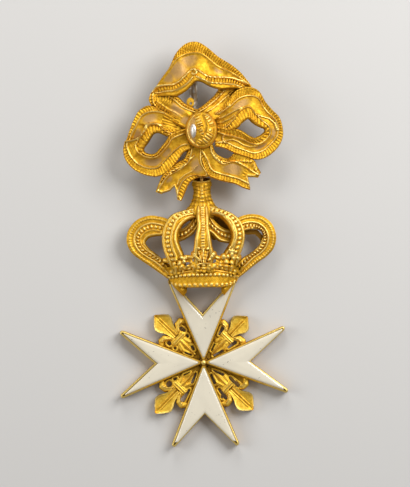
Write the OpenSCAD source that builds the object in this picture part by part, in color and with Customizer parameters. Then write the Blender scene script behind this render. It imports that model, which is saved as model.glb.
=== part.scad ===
// Order badge worn as a brooch: a cast ribbon bow, a crown and an eight-pointed cross.
// It lies face up: +Z comes out of its face and +Y points to the top of the bow.
// The tables give x and y in mm from the middle of the cross, as on a drawing of the badge.

/* [Cross] */
// Width of the cross from point to point
cross_w = 22.6; // [21:0.1:24]
// Distance between the two points of an arm, centre to centre
point_gap = 8.4; // [7.6:0.1:9]
// Distance from the middle of the cross to the notch of an arm
notch_r = 6.45; // [5.5:0.05:7.5]
// Thickness of the gilt frame
frame_t = 1.5; // [1.2:0.1:2]
// Thickness of the floor under the enamel
floor_t = 0.5; // [0.4:0.1:0.8]
// Width of the metal rim round the enamel
rim_w = 0.18; // [0.15:0.01:0.3]
// Height of the enamel's crown above the rim
enamel_rise = 0.3; // [0.1:0.05:0.5]
// Radius of the small ball in the middle
boss_r = 0.42; // [0.3:0.02:0.6]

/* [Fleurs-de-lis] */
// Height of the fleurs above the surface that the badge lies on
fleur_lift = 0.15; // [0:0.05:0.5]
// Thickness of their pierced plate
fleur_t = 0.7; // [0.5:0.05:1]

/* [Crown] */
// Size of the crown against its drawing
crown_scale = 1; // [0.95:0.01:1.05]
// Thickness of its cast bands
crown_t = 0.8; // [0.6:0.05:1]
// Inner radius of the tubular neck
neck_bore_r = 0.85; // [0.8:0.01:0.9]

/* [Bow] */
// Size of the bow against its drawing
bow_scale = 1; // [0.95:0.01:1.02]
// Height of the bow's back above the surface
bow_z = 2.8; // [2.7:0.05:3.2]
// Thickness of its ribbons
ribbon_t = 0.75; // [0.6:0.05:0.9]
// Depth of the ribs on the ribbon borders
rib_depth = 0.12; // [0.05:0.01:0.16]

/* [Brooch pin] */
// Diameter of the pin's stem
stem_d = 1.1; // [1:0.05:1.2]
// Distance of the stem's middle from the middle of the cross
stem_x = -0.55; // [-0.8:0.05:-0.4]
// Height of the hinge and the stem above the surface
stem_z = 0.95; // [0.9:0.01:1.1]
// Distance of the hinge above the middle of the cross
hinge_y = 39.6; // [39.4:0.1:40]
// Distance of the catch above the middle of the cross
catch_y = 28.5; // [28.3:0.1:28.7]
// Radius of the hinge's rivet
rivet_r = 0.35; // [0.3:0.01:0.4]

/* [Link] */
// Radius of the link's wire
link_wire_r = 0.22; // [0.18:0.01:0.24]
// Radius of the two bars that the link goes round
bar_r = 0.25; // [0.2:0.01:0.27]

/* [Hidden] */

// Small gap between pieces that lie against each other
seat_gap = 0.02;
// Running gap of the hinge
run_gap = 0.04;

// Middle of the whole badge, seen from the front
bow_top = 43.3;
bow_right = 11.44;
mid_x = (bow_right - cross_w / 2) / 2;
mid_y = (bow_top - cross_w / 2) / 2;

// Places on the drawing
knot_at = [0.4, 31.3];
crown_at = [0.3, 10.2];
neck_x = 0.3;
neck_z = 2.3;
lug_at = [-1.0, 35.1];
lug_hole_at = [-0.85, 35.0];

// Sections of a ribbon for each row of its table
fine = 4;
medium = 3;
coarse = 2;

// Hinge and catch
eye_r = 0.8;
eye_w = 1.2;
lug_t = 0.6;
lug_gap = 0.08;
bracket_t = 0.45;
bracket_w = 3;
bracket_len = 2.2;
seat_margin = 0.1;
stem_reach = 12.1;
stem_taper = 8.2;
catch_len = 1;
catch_wall = 0.4;
catch_half = 0.5;

// Crown: rear arches, beads, the leaves between the arches, and the feet
rear_arch_t = 0.7;
bead_r = 0.21;
ball_r = 0.3;
gallery_z = 3.9;
gallery_t = 0.6;
gallery_hole_r = 0.22;
gusset_z = 1.2;
gusset_h = 2.8;
foot_w = 0.8;

// Link and bars
crown_bar_y = 24.1;
bow_bar_y = 26.6;
link_bend_r = bar_r + link_wire_r + 0.08;

// Ribbon section: share of the width, height, and how far it follows the ribs
RIBBON = [
    [0.00, -0.12, 1], [0.18, 0.02, 1], [0.25, 0.17, 0], [0.32, 0.00, 0],
    [0.68, 0.00, 0], [0.75, 0.17, 0], [0.82, 0.02, 1], [1.00, -0.12, 1]];
// Crown section: two rims with a lower channel between them
BAND = [
    [0.00, -0.15, 0], [0.12, 0.08, 0], [0.26, -0.10, 0],
    [0.74, -0.10, 0], [0.88, 0.08, 0], [1.00, -0.15, 0]];
// Leaf section: a rib along the middle of two soft lobes
LEAF = [[0.00, 0.00, 0], [0.25, 0.20, 0], [0.44, 0.10, 0], [0.50, 0.24, 0],
    [0.56, 0.10, 0], [0.75, 0.20, 0], [1.00, 0.00, 0]];
// Petal section: one soft round
PETAL = [[0.00, 0.00, 0], [0.25, 0.18, 0], [0.75, 0.18, 0], [1.00, 0.00, 0]];

// Bow ribbons, a row for each fold: left edge x, y, z, right edge x, y, z.
// Left and right are seen along the ribbon, and z is above the bow's back.
TOP_SHEET = [
    [-6.6, 36.0, 0.95, -6.45, 35.25, 0.85],
    [-6.1, 36.9, 1.1, -5.4, 36.1, 1.5],
    [-5.1, 38.2, 1.3, -4.2, 36.1, 2.1],
    [-3.7, 40.1, 1.5, -2.9, 36.1, 2.5],
    [-2.75, 41.9, 1.5, -1.7, 36.7, 2.6],
    [-1.4, 43.1, 1.5, -0.9, 37.4, 2.6],
    [0.1, 43.3, 1.5, -0.2, 38.0, 2.6],
    [1.5, 42.5, 1.5, 0.7, 37.9, 2.7],
    [3.0, 41.2, 1.5, 1.8, 37.3, 2.7],
    [4.7, 40.1, 1.5, 3.1, 36.9, 2.6],
    [6.0, 39.0, 1.3, 4.4, 37.0, 2.4],
    [6.8, 38.0, 1.2, 5.6, 36.9, 2.0],
    [7.4, 37.2, 1.0, 6.7, 36.8, 1.5]];
TOP_LEFT_LEG = [
    [-5.0, 37.0, 0.9, -6.6, 35.5, 0.9],
    [-3.8, 36.5, 1.1, -6.2, 34.8, 0.9],
    [-2.8, 35.9, 1.3, -5.2, 33.9, 1.1],
    [-1.7, 35.0, 1.6, -4.1, 33.1, 1.5],
    [-0.6, 34.4, 1.9, -3.1, 32.4, 1.9],
    [0.4, 34.0, 2.0, -1.9, 31.7, 2.1]];
TOP_RIGHT_LEG = [
    [6.0, 36.9, 0.9, 3.6, 37.7, 1.0],
    [5.1, 35.9, 1.0, 2.8, 36.8, 1.1],
    [4.5, 35.0, 1.2, 2.2, 36.0, 1.4],
    [3.9, 34.1, 1.5, 1.3, 35.2, 1.7],
    [3.1, 33.2, 1.8, 0.4, 34.5, 2.0],
    [2.0, 32.5, 2.0, -0.4, 34.0, 2.1]];
RIGHT_LOOP = [
    [1.6, 33.3, 1.6, 2.4, 31.0, 1.7],
    [3.0, 34.0, 1.9, 3.9, 31.2, 2.1],
    [4.0, 35.4, 2.1, 5.2, 31.6, 2.5],
    [5.3, 36.7, 2.0, 5.9, 32.3, 2.6],
    [6.9, 37.1, 1.9, 6.8, 32.8, 2.6],
    [8.3, 36.5, 1.7, 7.5, 32.2, 2.4],
    [9.2, 35.0, 1.6, 8.1, 31.8, 2.2],
    [10.1, 33.9, 1.5, 8.7, 31.5, 2.0],
    [11.0, 32.9, 1.3, 9.0, 31.3, 1.8],
    [11.4, 31.6, 1.1, 9.05, 31.0, 1.7],
    [11.4, 30.2, 1.0, 8.8, 30.75, 1.7],
    [10.7, 28.8, 1.1, 8.3, 30.4, 1.8],
    [9.3, 27.6, 1.2, 7.6, 30.1, 2.0],
    [7.8, 27.2, 1.3, 6.8, 30.4, 2.1],
    [6.4, 27.6, 1.5, 5.8, 31.1, 2.1],
    [5.0, 28.4, 1.7, 5.0, 31.5, 2.1],
    [3.7, 29.1, 1.8, 3.9, 31.6, 2.1],
    [2.2, 29.6, 1.9, 2.4, 31.8, 2.1]];
LEFT_LOOP = [
    [-1.3, 30.6, 1.8, -1.6, 33.2, 1.8],
    [-2.9, 30.7, 1.8, -3.2, 33.4, 1.8],
    [-4.1, 30.7, 2.1, -4.9, 34.2, 1.7],
    [-5.3, 31.2, 2.2, -6.5, 34.9, 1.5],
    [-6.1, 31.1, 2.3, -7.9, 34.3, 1.3],
    [-6.6, 30.5, 2.3, -8.8, 32.9, 1.2],
    [-7.0, 29.9, 2.2, -9.5, 31.2, 1.1],
    [-7.4, 29.3, 2.0, -10.1, 29.8, 1.0],
    [-7.55, 28.9, 1.8, -10.25, 28.7, 0.9],
    [-7.4, 28.6, 1.7, -9.9, 27.5, 1.0],
    [-6.9, 28.3, 1.8, -8.9, 26.3, 1.1],
    [-6.2, 28.2, 2.0, -7.4, 25.5, 1.2],
    [-5.6, 28.5, 2.1, -5.7, 25.2, 1.3],
    [-5.0, 29.2, 2.1, -4.4, 25.8, 1.5],
    [-4.3, 30.1, 2.1, -3.4, 26.7, 1.7],
    [-3.8, 30.9, 2.1, -2.6, 27.7, 1.8],
    [-2.7, 31.4, 2.1, -1.9, 28.5, 1.9],
    [-1.2, 31.8, 2.1, -0.9, 28.9, 2.0]];
LEFT_TAIL = [
    [0.7, 29.2, 1.75, -1.1, 29.8, 1.85],
    [0.7, 26.9, 1.5, -1.9, 27.7, 1.7],
    [0.9, 25.6, 1.3, -2.9, 27.1, 1.6],
    [-0.4, 25.2, 1.3, -4.0, 26.4, 1.55],
    [-1.3, 24.3, 1.3, -4.9, 25.5, 1.5],
    [-2.0, 22.9, 1.2, -5.5, 24.3, 1.3],
    [-2.5, 21.9, 1.1, -5.95, 23.2, 1.2]];
RIGHT_TAIL = [
    [1.9, 29.4, 1.8, 0.0, 28.6, 1.7],
    [2.2, 28.4, 1.7, 0.4, 26.9, 1.6],
    [2.9, 27.8, 1.6, 1.1, 25.3, 1.5],
    [3.9, 27.5, 1.5, 2.2, 24.7, 1.4],
    [5.0, 28.3, 1.5, 3.6, 24.3, 1.4],
    [6.3, 27.9, 1.4, 4.8, 24.0, 1.3],
    [7.5, 27.1, 1.3, 6.0, 23.4, 1.2],
    [8.5, 25.9, 1.2, 7.0, 23.1, 1.1]];
// Notches of the two swallow tails
LEFT_NOTCH = [[-3.35, 23.95], [-3.05, 22.1], [-3.0, 20], [-6.5, 20], [-5.1, 22.95], [-4.0, 23.3]];
RIGHT_NOTCH = [[6.5, 24.95], [8.2, 24.8], [9.5, 24.5], [9.5, 21], [6.95, 21.5], [6.75, 23.9]];

// Crown bands, in the same columns, with z above the surface that the badge lies on
CROWN_LEFT_LOOP = [
    [-4.6, 17.4, 3.2, -4.4, 19.5, 3.2],
    [-5.6, 17.3, 2.9, -5.6, 19.9, 2.8],
    [-6.5, 17.2, 2.7, -7.0, 20.05, 2.5],
    [-7.1, 17.0, 2.6, -8.6, 19.5, 2.4],
    [-7.45, 16.5, 2.5, -9.75, 18.2, 2.4],
    [-7.4, 16.1, 2.5, -10.05, 16.6, 2.4],
    [-6.9, 15.5, 2.5, -9.5, 15.2, 2.4],
    [-6.2, 14.9, 2.6, -8.4, 14.2, 2.4],
    [-5.5, 14.3, 2.7, -7.0, 13.2, 2.5],
    [-4.8, 13.6, 2.9, -5.8, 12.3, 2.6],
    [-4.0, 12.8, 3.1, -4.6, 11.4, 2.7]];
CROWN_RIGHT_LOOP = [
    [4.9, 19.3, 3.2, 5.0, 17.6, 3.2],
    [5.9, 19.8, 2.8, 6.0, 17.7, 2.9],
    [7.1, 19.95, 2.5, 6.9, 17.9, 2.7],
    [8.5, 19.6, 2.4, 7.7, 17.9, 2.6],
    [9.7, 18.5, 2.4, 8.3, 17.5, 2.5],
    [10.2, 16.9, 2.4, 8.35, 16.7, 2.5],
    [9.9, 15.4, 2.4, 7.9, 15.8, 2.5],
    [9.0, 14.3, 2.4, 7.3, 15.1, 2.6],
    [7.7, 13.4, 2.5, 6.5, 14.5, 2.7],
    [6.4, 12.4, 2.6, 5.6, 13.9, 2.9],
    [5.0, 11.3, 2.7, 4.6, 12.9, 3.1]];
LEFT_ARCH = [
    [-0.3, 19.6, 3.4, -0.9, 21.0, 3.3],
    [-1.6, 19.5, 4.0, -2.5, 20.6, 3.5],
    [-2.6, 18.7, 4.4, -4.0, 20.0, 3.7],
    [-3.15, 17.7, 4.6, -5.0, 18.5, 3.9],
    [-3.2, 16.6, 4.7, -5.3, 16.9, 4.0],
    [-2.9, 15.6, 4.7, -5.15, 15.5, 4.0],
    [-2.5, 14.6, 4.6, -4.75, 14.3, 4.0],
    [-2.3, 13.4, 4.4, -4.2, 13.0, 3.8],
    [-2.3, 12.2, 4.3, -3.9, 12.0, 3.5]];
RIGHT_ARCH = [
    [1.4, 21.2, 3.3, 0.9, 19.8, 3.4],
    [2.9, 20.75, 3.5, 2.5, 20.0, 4.0],
    [4.5, 20.0, 3.7, 3.5, 19.2, 4.4],
    [5.6, 18.8, 3.9, 4.15, 18.1, 4.6],
    [6.0, 17.2, 4.0, 4.4, 17.0, 4.7],
    [5.8, 15.8, 4.0, 4.0, 15.8, 4.7],
    [5.35, 14.6, 4.0, 3.3, 14.8, 4.6],
    [4.9, 13.3, 3.8, 2.8, 13.6, 4.4],
    [4.6, 12.1, 3.5, 2.7, 12.4, 4.3]];
MIDDLE_ARCH = [
    [1.2, 21.2, 3.4, -0.7, 21.2, 3.4],
    [1.15, 19.8, 4.4, -0.5, 19.8, 4.4],
    [1.15, 18.4, 5.0, -0.45, 18.4, 5.0],
    [1.35, 17.0, 5.3, -0.8, 17.0, 5.3],
    [1.5, 15.8, 5.3, -0.95, 15.8, 5.3],
    [1.7, 14.8, 5.2, -1.1, 14.8, 5.2],
    [1.6, 13.6, 5.0, -1.0, 13.6, 5.0],
    [1.4, 12.2, 4.8, -0.9, 12.2, 4.8]];
LEFT_REAR_ARCH = [
    [-0.3, 18.6, 2.9, -0.7, 20.3, 2.9],
    [-0.9, 17.6, 2.7, -1.3, 19.2, 2.7],
    [-1.8, 16.9, 2.5, -2.2, 18.3, 2.5],
    [-3.0, 16.4, 2.3, -3.1, 18.1, 2.3],
    [-4.6, 16.0, 2.4, -4.8, 18.0, 2.4]];
RIGHT_REAR_ARCH = [
    [1.1, 20.1, 2.9, 0.9, 17.8, 2.9],
    [1.9, 19.2, 2.7, 1.6, 16.7, 2.7],
    [2.9, 18.3, 2.5, 2.4, 16.15, 2.5],
    [3.9, 17.9, 2.3, 3.4, 16.0, 2.3],
    [5.3, 17.8, 2.4, 5.0, 15.9, 2.4]];
CIRCLET = [
    [-4.55, 11.85, 2.75, -4.1, 10.7, 2.65],
    [-3.6, 12.25, 3.6, -3.1, 10.3, 3.6],
    [-2.4, 12.5, 4.3, -1.9, 10.2, 4.3],
    [-1.0, 12.65, 4.7, -0.7, 10.2, 4.7],
    [0.3, 12.7, 4.8, 0.4, 10.2, 4.8],
    [1.7, 12.65, 4.7, 1.5, 10.2, 4.7],
    [3.1, 12.45, 4.3, 2.7, 10.15, 4.3],
    [4.1, 12.2, 3.6, 3.6, 10.3, 3.6],
    [4.95, 11.75, 2.75, 4.6, 10.75, 2.65]];
// Florets on the band: middle x, y, z and size
FLORETS = [[0.4, 13.4, 5.1, 1.0], [-3.2, 13.2, 4.2, 0.85], [3.7, 13.2, 4.2, 0.85]];
// Small balls between the florets: x, y, z
BALLS = [[-1.35, 12.8, 4.5], [2.0, 12.8, 4.5], [-4.6, 13.2, 3.1], [5.2, 12.9, 3.1]];
// Pierced leaves that fill the foot of each gap between the arches, in x and y
LEFT_GALLERY = [[-2.9, 12.2], [-0.6, 12.2], [-0.8, 14.3], [-1.4, 14.1], [-1.8, 14.5],
    [-2.3, 14.2], [-2.8, 14.6]];
RIGHT_GALLERY = [[1.2, 12.2], [3.3, 12.2], [3.5, 14.6], [2.9, 14.2], [2.4, 14.4],
    [1.9, 14.1], [1.4, 14.4]];
GALLERY_HOLES = [[-1.85, 13.65], [-1.1, 13.8], [1.75, 13.7], [2.6, 13.7]];
// Places of the two feet that stand on the upper points of the cross
FEET = [[-4.5, 10.7], [3.9, 10.7]];
// Gusset under the band, beside the inner edge of the cross's top arm
GUSSET = [[2.05, 9.1], [3.25, 10.5], [2.35, 10.5], [1.95, 9.4]];
// Neck profile: radius and y along the neck
NECK = [[1.2, 19.3], [1.85, 20.0], [1.9, 20.5], [1.6, 21.1], [1.35, 21.7], [1.2, 22.3],
    [1.25, 22.9], [1.15, 23.3], [1.28, 23.7], [1.22, 24.1], [1.34, 24.4], [1.28, 24.75]];

// Knot profile: share of its radius, and height
KNOT = [[0, 0], [1, 0], [1, 1.1], [0.94, 1.35], [0.86, 1.35], [0.8, 1.2], [0.72, 1.55],
    [0.5, 2.15], [0.25, 2.45], [0, 2.55]];

// Fleur-de-lis in its own frame: x runs outwards along the diagonal of the cross
FLEUR_LEAF = [
    [4.8, 0.3, 0.9, 4.8, -0.3, 0.9],
    [5.7, 0.55, 1.0, 5.7, -0.55, 1.0],
    [6.5, 0.95, 1.0, 6.5, -0.95, 1.0],
    [7.1, 1.1, 1.0, 7.1, -1.1, 1.0],
    [7.8, 1.35, 0.95, 7.8, -1.35, 0.95],
    [8.4, 0.8, 0.9, 8.4, -0.8, 0.9],
    [9.2, 0.06, 0.8, 9.2, -0.06, 0.8]];
FLEUR_PETAL = [
    [4.9, 0.85, 0.8, 5.1, 0.2, 0.9],
    [5.4, 1.0, 0.8, 6.0, 0.55, 0.9],
    [5.7, 1.25, 0.8, 6.6, 1.0, 0.9],
    [5.75, 1.55, 0.8, 6.8, 1.6, 0.85],
    [5.6, 1.75, 0.75, 6.5, 2.3, 0.8],
    [5.3, 1.75, 0.7, 5.7, 2.5, 0.75],
    [5.1, 1.5, 0.7, 4.9, 2.3, 0.7]];
// Half outline of its lower plate
FLEUR_PLATE = [[5.1, 0.9], [4.4, 0.95], [4.1, 1.1], [3.8, 1.7], [3.1, 1.3], [2.5, 0.5], [0.9, 0.12]];

// Point at share t of the rows, on a smooth curve through them
function row_at(rows, t) =
    let (last = len(rows) - 1)
    let (i = min(floor(t), last - 1))
    let (f = t - i)
    let (a = rows[max(i - 1, 0)])
    let (b = rows[i])
    let (c = rows[i + 1])
    let (d = rows[min(i + 2, last)])
    b + 0.5 * f * (c - a + f * (2 * a - 5 * b + 4 * c - d + f * (3 * (b - c) + d - a)));

function left_of(row) = [row[0], row[1], row[2]];
function right_of(row) = [row[3], row[4], row[5]];
function middle_of(row) = (left_of(row) + right_of(row)) / 2;
function unit(v) = v / norm(v);

// Points of one section of a ribbon: its profile above, and two corners below
function section_points(rows, t, profile, thick, rib) =
    let (row = row_at(rows, t))
    let (across = right_of(row) - left_of(row))
    let (e = 0.05)
    let (along = middle_of(row_at(rows, min(t + e, len(rows) - 1)))
        - middle_of(row_at(rows, max(t - e, 0))))
    let (up = unit(cross(across, along)))
    concat(
        [for (p = profile) left_of(row) + p[0] * across + (p[1] - p[2] * rib) * up],
        [right_of(row) - thick * up, left_of(row) - thick * up]);

// A ribbon through the rows, with the profile on its face; every second section is a rib's valley
module ribbon(rows, profile, thick, steps, rib) {
    count = (len(rows) - 1) * steps;
    ring = len(profile) + 2;
    points = [for (j = [0:count])
        each section_points(rows, j / steps, profile, thick, rib * (j % 2))];
    start_cap = [for (k = [0:ring - 1]) k];
    end_cap = [for (k = [ring - 1:-1:0]) count * ring + k];
    sides = [for (j = [0:count - 1], k = [0:ring - 1])
        let (n = (k + 1) % ring)
        each [[j * ring + k, (j + 1) * ring + k, (j + 1) * ring + n],
            [j * ring + k, (j + 1) * ring + n, j * ring + n]]];
    polyhedron(points, concat([start_cap], sides, [end_cap]), convexity = 8);
}

// A small rounded bar between two points
module rod(from, to, r, sides) {
    hull() {
        translate(from) sphere(r, $fn = sides);
        translate(to) sphere(r, $fn = sides);
    }
}

// Outline of one arm of the cross, pointing along +X, from its lower corner to its upper one
tip_r = 0.3;
corner = 0.2;
tip_x = cross_w / 2 - tip_r;
tip_y = point_gap / 2;
side_angle = atan2(tip_y - corner, tip_x - corner)
    + asin(tip_r / norm([tip_x - corner, tip_y - corner]));
notch_angle = atan2(tip_y, tip_x - notch_r) - asin(tip_r / norm([tip_x - notch_r, tip_y]));
tip_steps = 4;
function tip_arc(from, to, side) = [for (i = [0:tip_steps])
    let (a = from + (to - from) * i / tip_steps)
    [tip_x + tip_r * cos(a), side * tip_y + tip_r * sin(a)]];
function arm_outline() = concat(
    [[corner, -corner]],
    tip_arc(-90 - side_angle, 90 - notch_angle, -1),
    [[notch_r, 0]],
    tip_arc(notch_angle - 90, 90 + side_angle, 1));
function turned(p, a) = [p[0] * cos(a) - p[1] * sin(a), p[0] * sin(a) + p[1] * cos(a)];
function cross_outline() = [for (a = [0:90:270], p = arm_outline()) turned(p, a)];

// Outline moved inwards by d, for a polygon that runs anticlockwise
function line_shift(p, q, d) = let (v = (q - p) / norm(q - p)) [-v[1], v[0]] * d;
function meet(p, u, q, v) = p + u * ((q - p)[0] * v[1] - (q - p)[1] * v[0]) / (u[0] * v[1] - u[1] * v[0]);
function inset(points, d) = [for (i = [0:len(points) - 1])
    let (a = points[(i + len(points) - 1) % len(points)])
    let (b = points[i])
    let (c = points[(i + 1) % len(points)])
    meet(a + line_shift(a, b, d), b - a, b + line_shift(b, c, d), c - b)];

// Cell of an arm: it starts beyond the boss and stops short of the points for the enamel
cell_start = 0.45;
function side_at(x) = corner + (x - corner) * tan(side_angle);
function cell_outline() = concat(
    [[cell_start, -side_at(cell_start)]],
    tip_arc(-90 - side_angle, 90 - notch_angle, -1),
    [[notch_r, 0]],
    tip_arc(notch_angle - 90, 90 + side_angle, 1),
    [[cell_start, side_at(cell_start)]]);
enamel_stop = 10.7;
enamel_stop_in = 10.5;
function notch_at(x) = (x - notch_r) * tan(notch_angle);
function enamel_outline() = inset([
    [cell_start, -side_at(cell_start)],
    [enamel_stop, -side_at(enamel_stop)],
    [enamel_stop_in, -notch_at(enamel_stop_in)],
    [notch_r, 0],
    [enamel_stop_in, notch_at(enamel_stop_in)],
    [enamel_stop, side_at(enamel_stop)],
    [cell_start, side_at(cell_start)]], rim_w + seat_gap);
// Edge of the flat top of the enamel, point for point with its outline
ENAMEL_CROWN = [[2.2, -0.4], [9.9, -3.6], [9.8, -3.45], [5.6, 0], [9.8, 3.45], [9.9, 3.6], [2.2, 0.4]];
// Height and share of the way to the crown's edge, for each layer of the enamel
ENAMEL_LAYERS = [[floor_t + seat_gap, 0], [frame_t - 0.05, 0],
    [frame_t + 0.65 * enamel_rise, 0.35], [frame_t + enamel_rise, 1]];

module at_badge() {
    translate([-mid_x, -mid_y, 0]) children();
}

module enamel(turn) {
    outline = enamel_outline();
    n = len(outline);
    top = len(ENAMEL_LAYERS) - 1;
    points = [for (layer = ENAMEL_LAYERS, i = [0:n - 1])
        let (p = outline[i] + layer[1] * (ENAMEL_CROWN[i] - outline[i]))
        [p[0], p[1], layer[0]]];
    floor_face = [for (i = [0:n - 1]) i];
    top_face = [for (i = [n - 1:-1:0]) top * n + i];
    sides = [for (l = [0:top - 1], i = [0:n - 1])
        let (m = (i + 1) % n)
        each [[l * n + i, (l + 1) * n + i, (l + 1) * n + m], [l * n + i, (l + 1) * n + m, l * n + m]]];
    color("ivory") at_badge() rotate(turn)
        polyhedron(points, concat([floor_face], sides, [top_face]), convexity = 4);
}

module cross_frame() {
    color("goldenrod") at_badge() {
        difference() {
            linear_extrude(frame_t) polygon(cross_outline());
            for (a = [0:90:270]) {
                rotate(a) translate([0, 0, floor_t])
                    linear_extrude(frame_t) polygon(inset(cell_outline(), rim_w));
            }
        }
        translate([0, 0, floor_t]) cylinder(r = boss_r, h = frame_t - floor_t, $fn = 24);
        intersection() {
            translate([0, 0, frame_t]) sphere(boss_r, $fn = 24);
            translate([-boss_r, -boss_r, frame_t]) cube(2 * boss_r);
        }
    }
}

// One fleur-de-lis, trimmed to the angle between two arms
module fleur(turn) {
    wall_angle = 45 - side_angle;
    root = corner * sqrt(2) + 2 * seat_gap / sin(wall_angle);
    far = 12;
    petal_t = 0.6;
    color("darkgoldenrod") at_badge() rotate(turn) translate([0, 0, fleur_lift]) union() {
        intersection() {
            union() {
                linear_extrude(fleur_t) polygon(concat(FLEUR_PLATE,
                    [for (i = [len(FLEUR_PLATE) - 1:-1:0]) [FLEUR_PLATE[i][0], -FLEUR_PLATE[i][1]]]));
                ribbon(FLEUR_LEAF, LEAF, fleur_t, 1, 0);
                ribbon(FLEUR_PETAL, PETAL, petal_t, 1, 0);
                mirror([0, 1, 0]) ribbon(FLEUR_PETAL, PETAL, petal_t, 1, 0);
                for (x = [4.6, 4.9]) {
                    rod([x, -0.85, 1.0], [x, 0.85, 1.0], 0.2, 4);
                }
                for (s = [-1, 1]) {
                    rod([4.4, s * 0.45, 0.75], [3.5, s * 1.05, 0.7], 0.2, 4);
                    rod([3.5, s * 1.05, 0.7], [2.3, s * 0.35, 0.6], 0.17, 4);
                    rod([4.4, s * 0.14, 0.8], [1.6, s * 0.08, 0.7], 0.2, 4);
                }
            }
            linear_extrude(3) polygon([[root, 0],
                [far, (far - root) * tan(wall_angle)], [far, -(far - root) * tan(wall_angle)]]);
        }
    }
}

// Three leaves of a floret, standing on the band
module floret(x, y, z, size) {
    rod([x, y - 0.8 * size, z], [x, y + 1.3 * size, z + 0.05], 0.28 * size, 4);
    for (s = [-1, 1]) {
        rod([x, y - 0.2 * size, z], [x + s * 0.75 * size, y + 0.45 * size, z - 0.1], 0.24 * size, 4);
    }
}

// A row of beads along the band, at a share of its height
module bead_row(places, share) {
    for (t = places) {
        row = row_at(CIRCLET, t);
        translate(left_of(row) + share * (right_of(row) - left_of(row))) sphere(bead_r, $fn = 5);
    }
}

// Pierced leaves between the feet of the arches
module gallery() {
    translate([0, 0, gallery_z]) linear_extrude(gallery_t) difference() {
        union() {
            polygon(LEFT_GALLERY);
            polygon(RIGHT_GALLERY);
        }
        for (h = GALLERY_HOLES) {
            translate(h) circle(gallery_hole_r, $fn = 6);
        }
    }
}

// The neck: a ribbed tube that flares into the top of the arches, with a bar across its mouth
module neck() {
    mouth_y = 23.4;
    top_y = NECK[len(NECK) - 1][1];
    translate([neck_x, 0, neck_z]) rotate([-90, 0, 0]) {
        difference() {
            rotate_extrude($fn = 18) polygon(concat([[0, NECK[0][1]]], NECK, [[0, top_y]]));
            translate([0, 0, mouth_y]) cylinder(r = neck_bore_r, h = 3, $fn = 18);
        }
    }
    translate([neck_x - neck_bore_r - 0.1, crown_bar_y, neck_z]) rotate([0, 90, 0])
        cylinder(r = bar_r, h = 2 * neck_bore_r + 0.2, $fn = 12);
}

module crown() {
    color("goldenrod") at_badge() translate(crown_at) scale(crown_scale) translate(-crown_at) union() {
        for (rows = [CROWN_LEFT_LOOP, CROWN_RIGHT_LOOP, LEFT_ARCH, RIGHT_ARCH, MIDDLE_ARCH, CIRCLET]) {
            ribbon(rows, BAND, crown_t, coarse, 0);
        }
        ribbon(LEFT_REAR_ARCH, BAND, rear_arch_t, 1, 0);
        ribbon(RIGHT_REAR_ARCH, BAND, rear_arch_t, 1, 0);
        for (f = FLORETS) {
            floret(f[0], f[1], f[2], f[3]);
        }
        for (b = BALLS) {
            translate(b) sphere(ball_r, $fn = 6);
        }
        bead_row([0.7:0.55:7.3], 0.27);
        bead_row([1.2:0.6:6.8], 0.82);
        neck();
        gallery();
        for (s = [-1, 1]) {
            translate([0, 0, gusset_z]) linear_extrude(gusset_h)
                polygon([for (p = GUSSET) [s * p[0], p[1]]]);
        }
        for (p = FEET) {
            translate([p[0], p[1], frame_t + seat_gap]) cube([foot_w, foot_w, 0.8]);
        }
    }
}

// The knot: a low oval dome with a raised edge, and coarse ribs across its right half
module knot() {
    half_w = 2.15;
    half_l = 2.5;
    base_z = 1.2;
    function rib_point(x, y) = [knot_at[0] + x, knot_at[1] + y,
        3.82 - 1.5 * (pow(x / half_w, 2) + pow(y / half_l, 2))];
    translate([knot_at[0], knot_at[1], base_z]) scale([half_w, half_l, 1])
        rotate_extrude($fn = 28) polygon(KNOT);
    for (y = [1.4:-0.62:-1.8]) {
        rod(rib_point(0.05, y), rib_point(1.35, y + 0.35), 0.25, 6);
    }
}

// Staple at the back of the bow: two legs and the bar that the link goes round
module staple() {
    leg = 0.4;
    half = 0.75;
    leg_low = neck_z - bow_z - bar_r;
    leg_h = 1.4;
    for (s = [-1, 1]) {
        hull() {
            translate([neck_x + s * half - leg / 2, bow_bar_y - 0.3, leg_low]) cube([leg, 0.6, 0.3]);
            translate([neck_x + s * half - leg / 2, bow_bar_y - 0.5, leg_low + leg_h]) cube([leg, 1, 0.3]);
        }
    }
    translate([neck_x - half, bow_bar_y, neck_z - bow_z]) rotate([0, 90, 0])
        cylinder(r = bar_r, h = 2 * half, $fn = 12);
}

// Small pierced lug beside the top opening
module lug() {
    difference() {
        translate([lug_at[0], lug_at[1], 0.8]) cylinder(r = 0.55, h = 0.7, $fn = 10);
        translate([lug_hole_at[0], lug_hole_at[1], 0]) cylinder(r = 0.14, h = 3, $fn = 6);
    }
}

// Seats of the pin's bracket and catch, at the back of the bow
module pin_seats() {
    seat_h = 1.3;
    translate([stem_x - bracket_w / 2 - seat_margin, hinge_y - 1 - seat_margin, 0])
        cube([bracket_w + 2 * seat_margin, bracket_len + 2 * seat_margin, seat_h]);
    translate([stem_x - 1.1, catch_y - 0.7, 0]) cube([2.2, 1.6, seat_h]);
}

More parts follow.
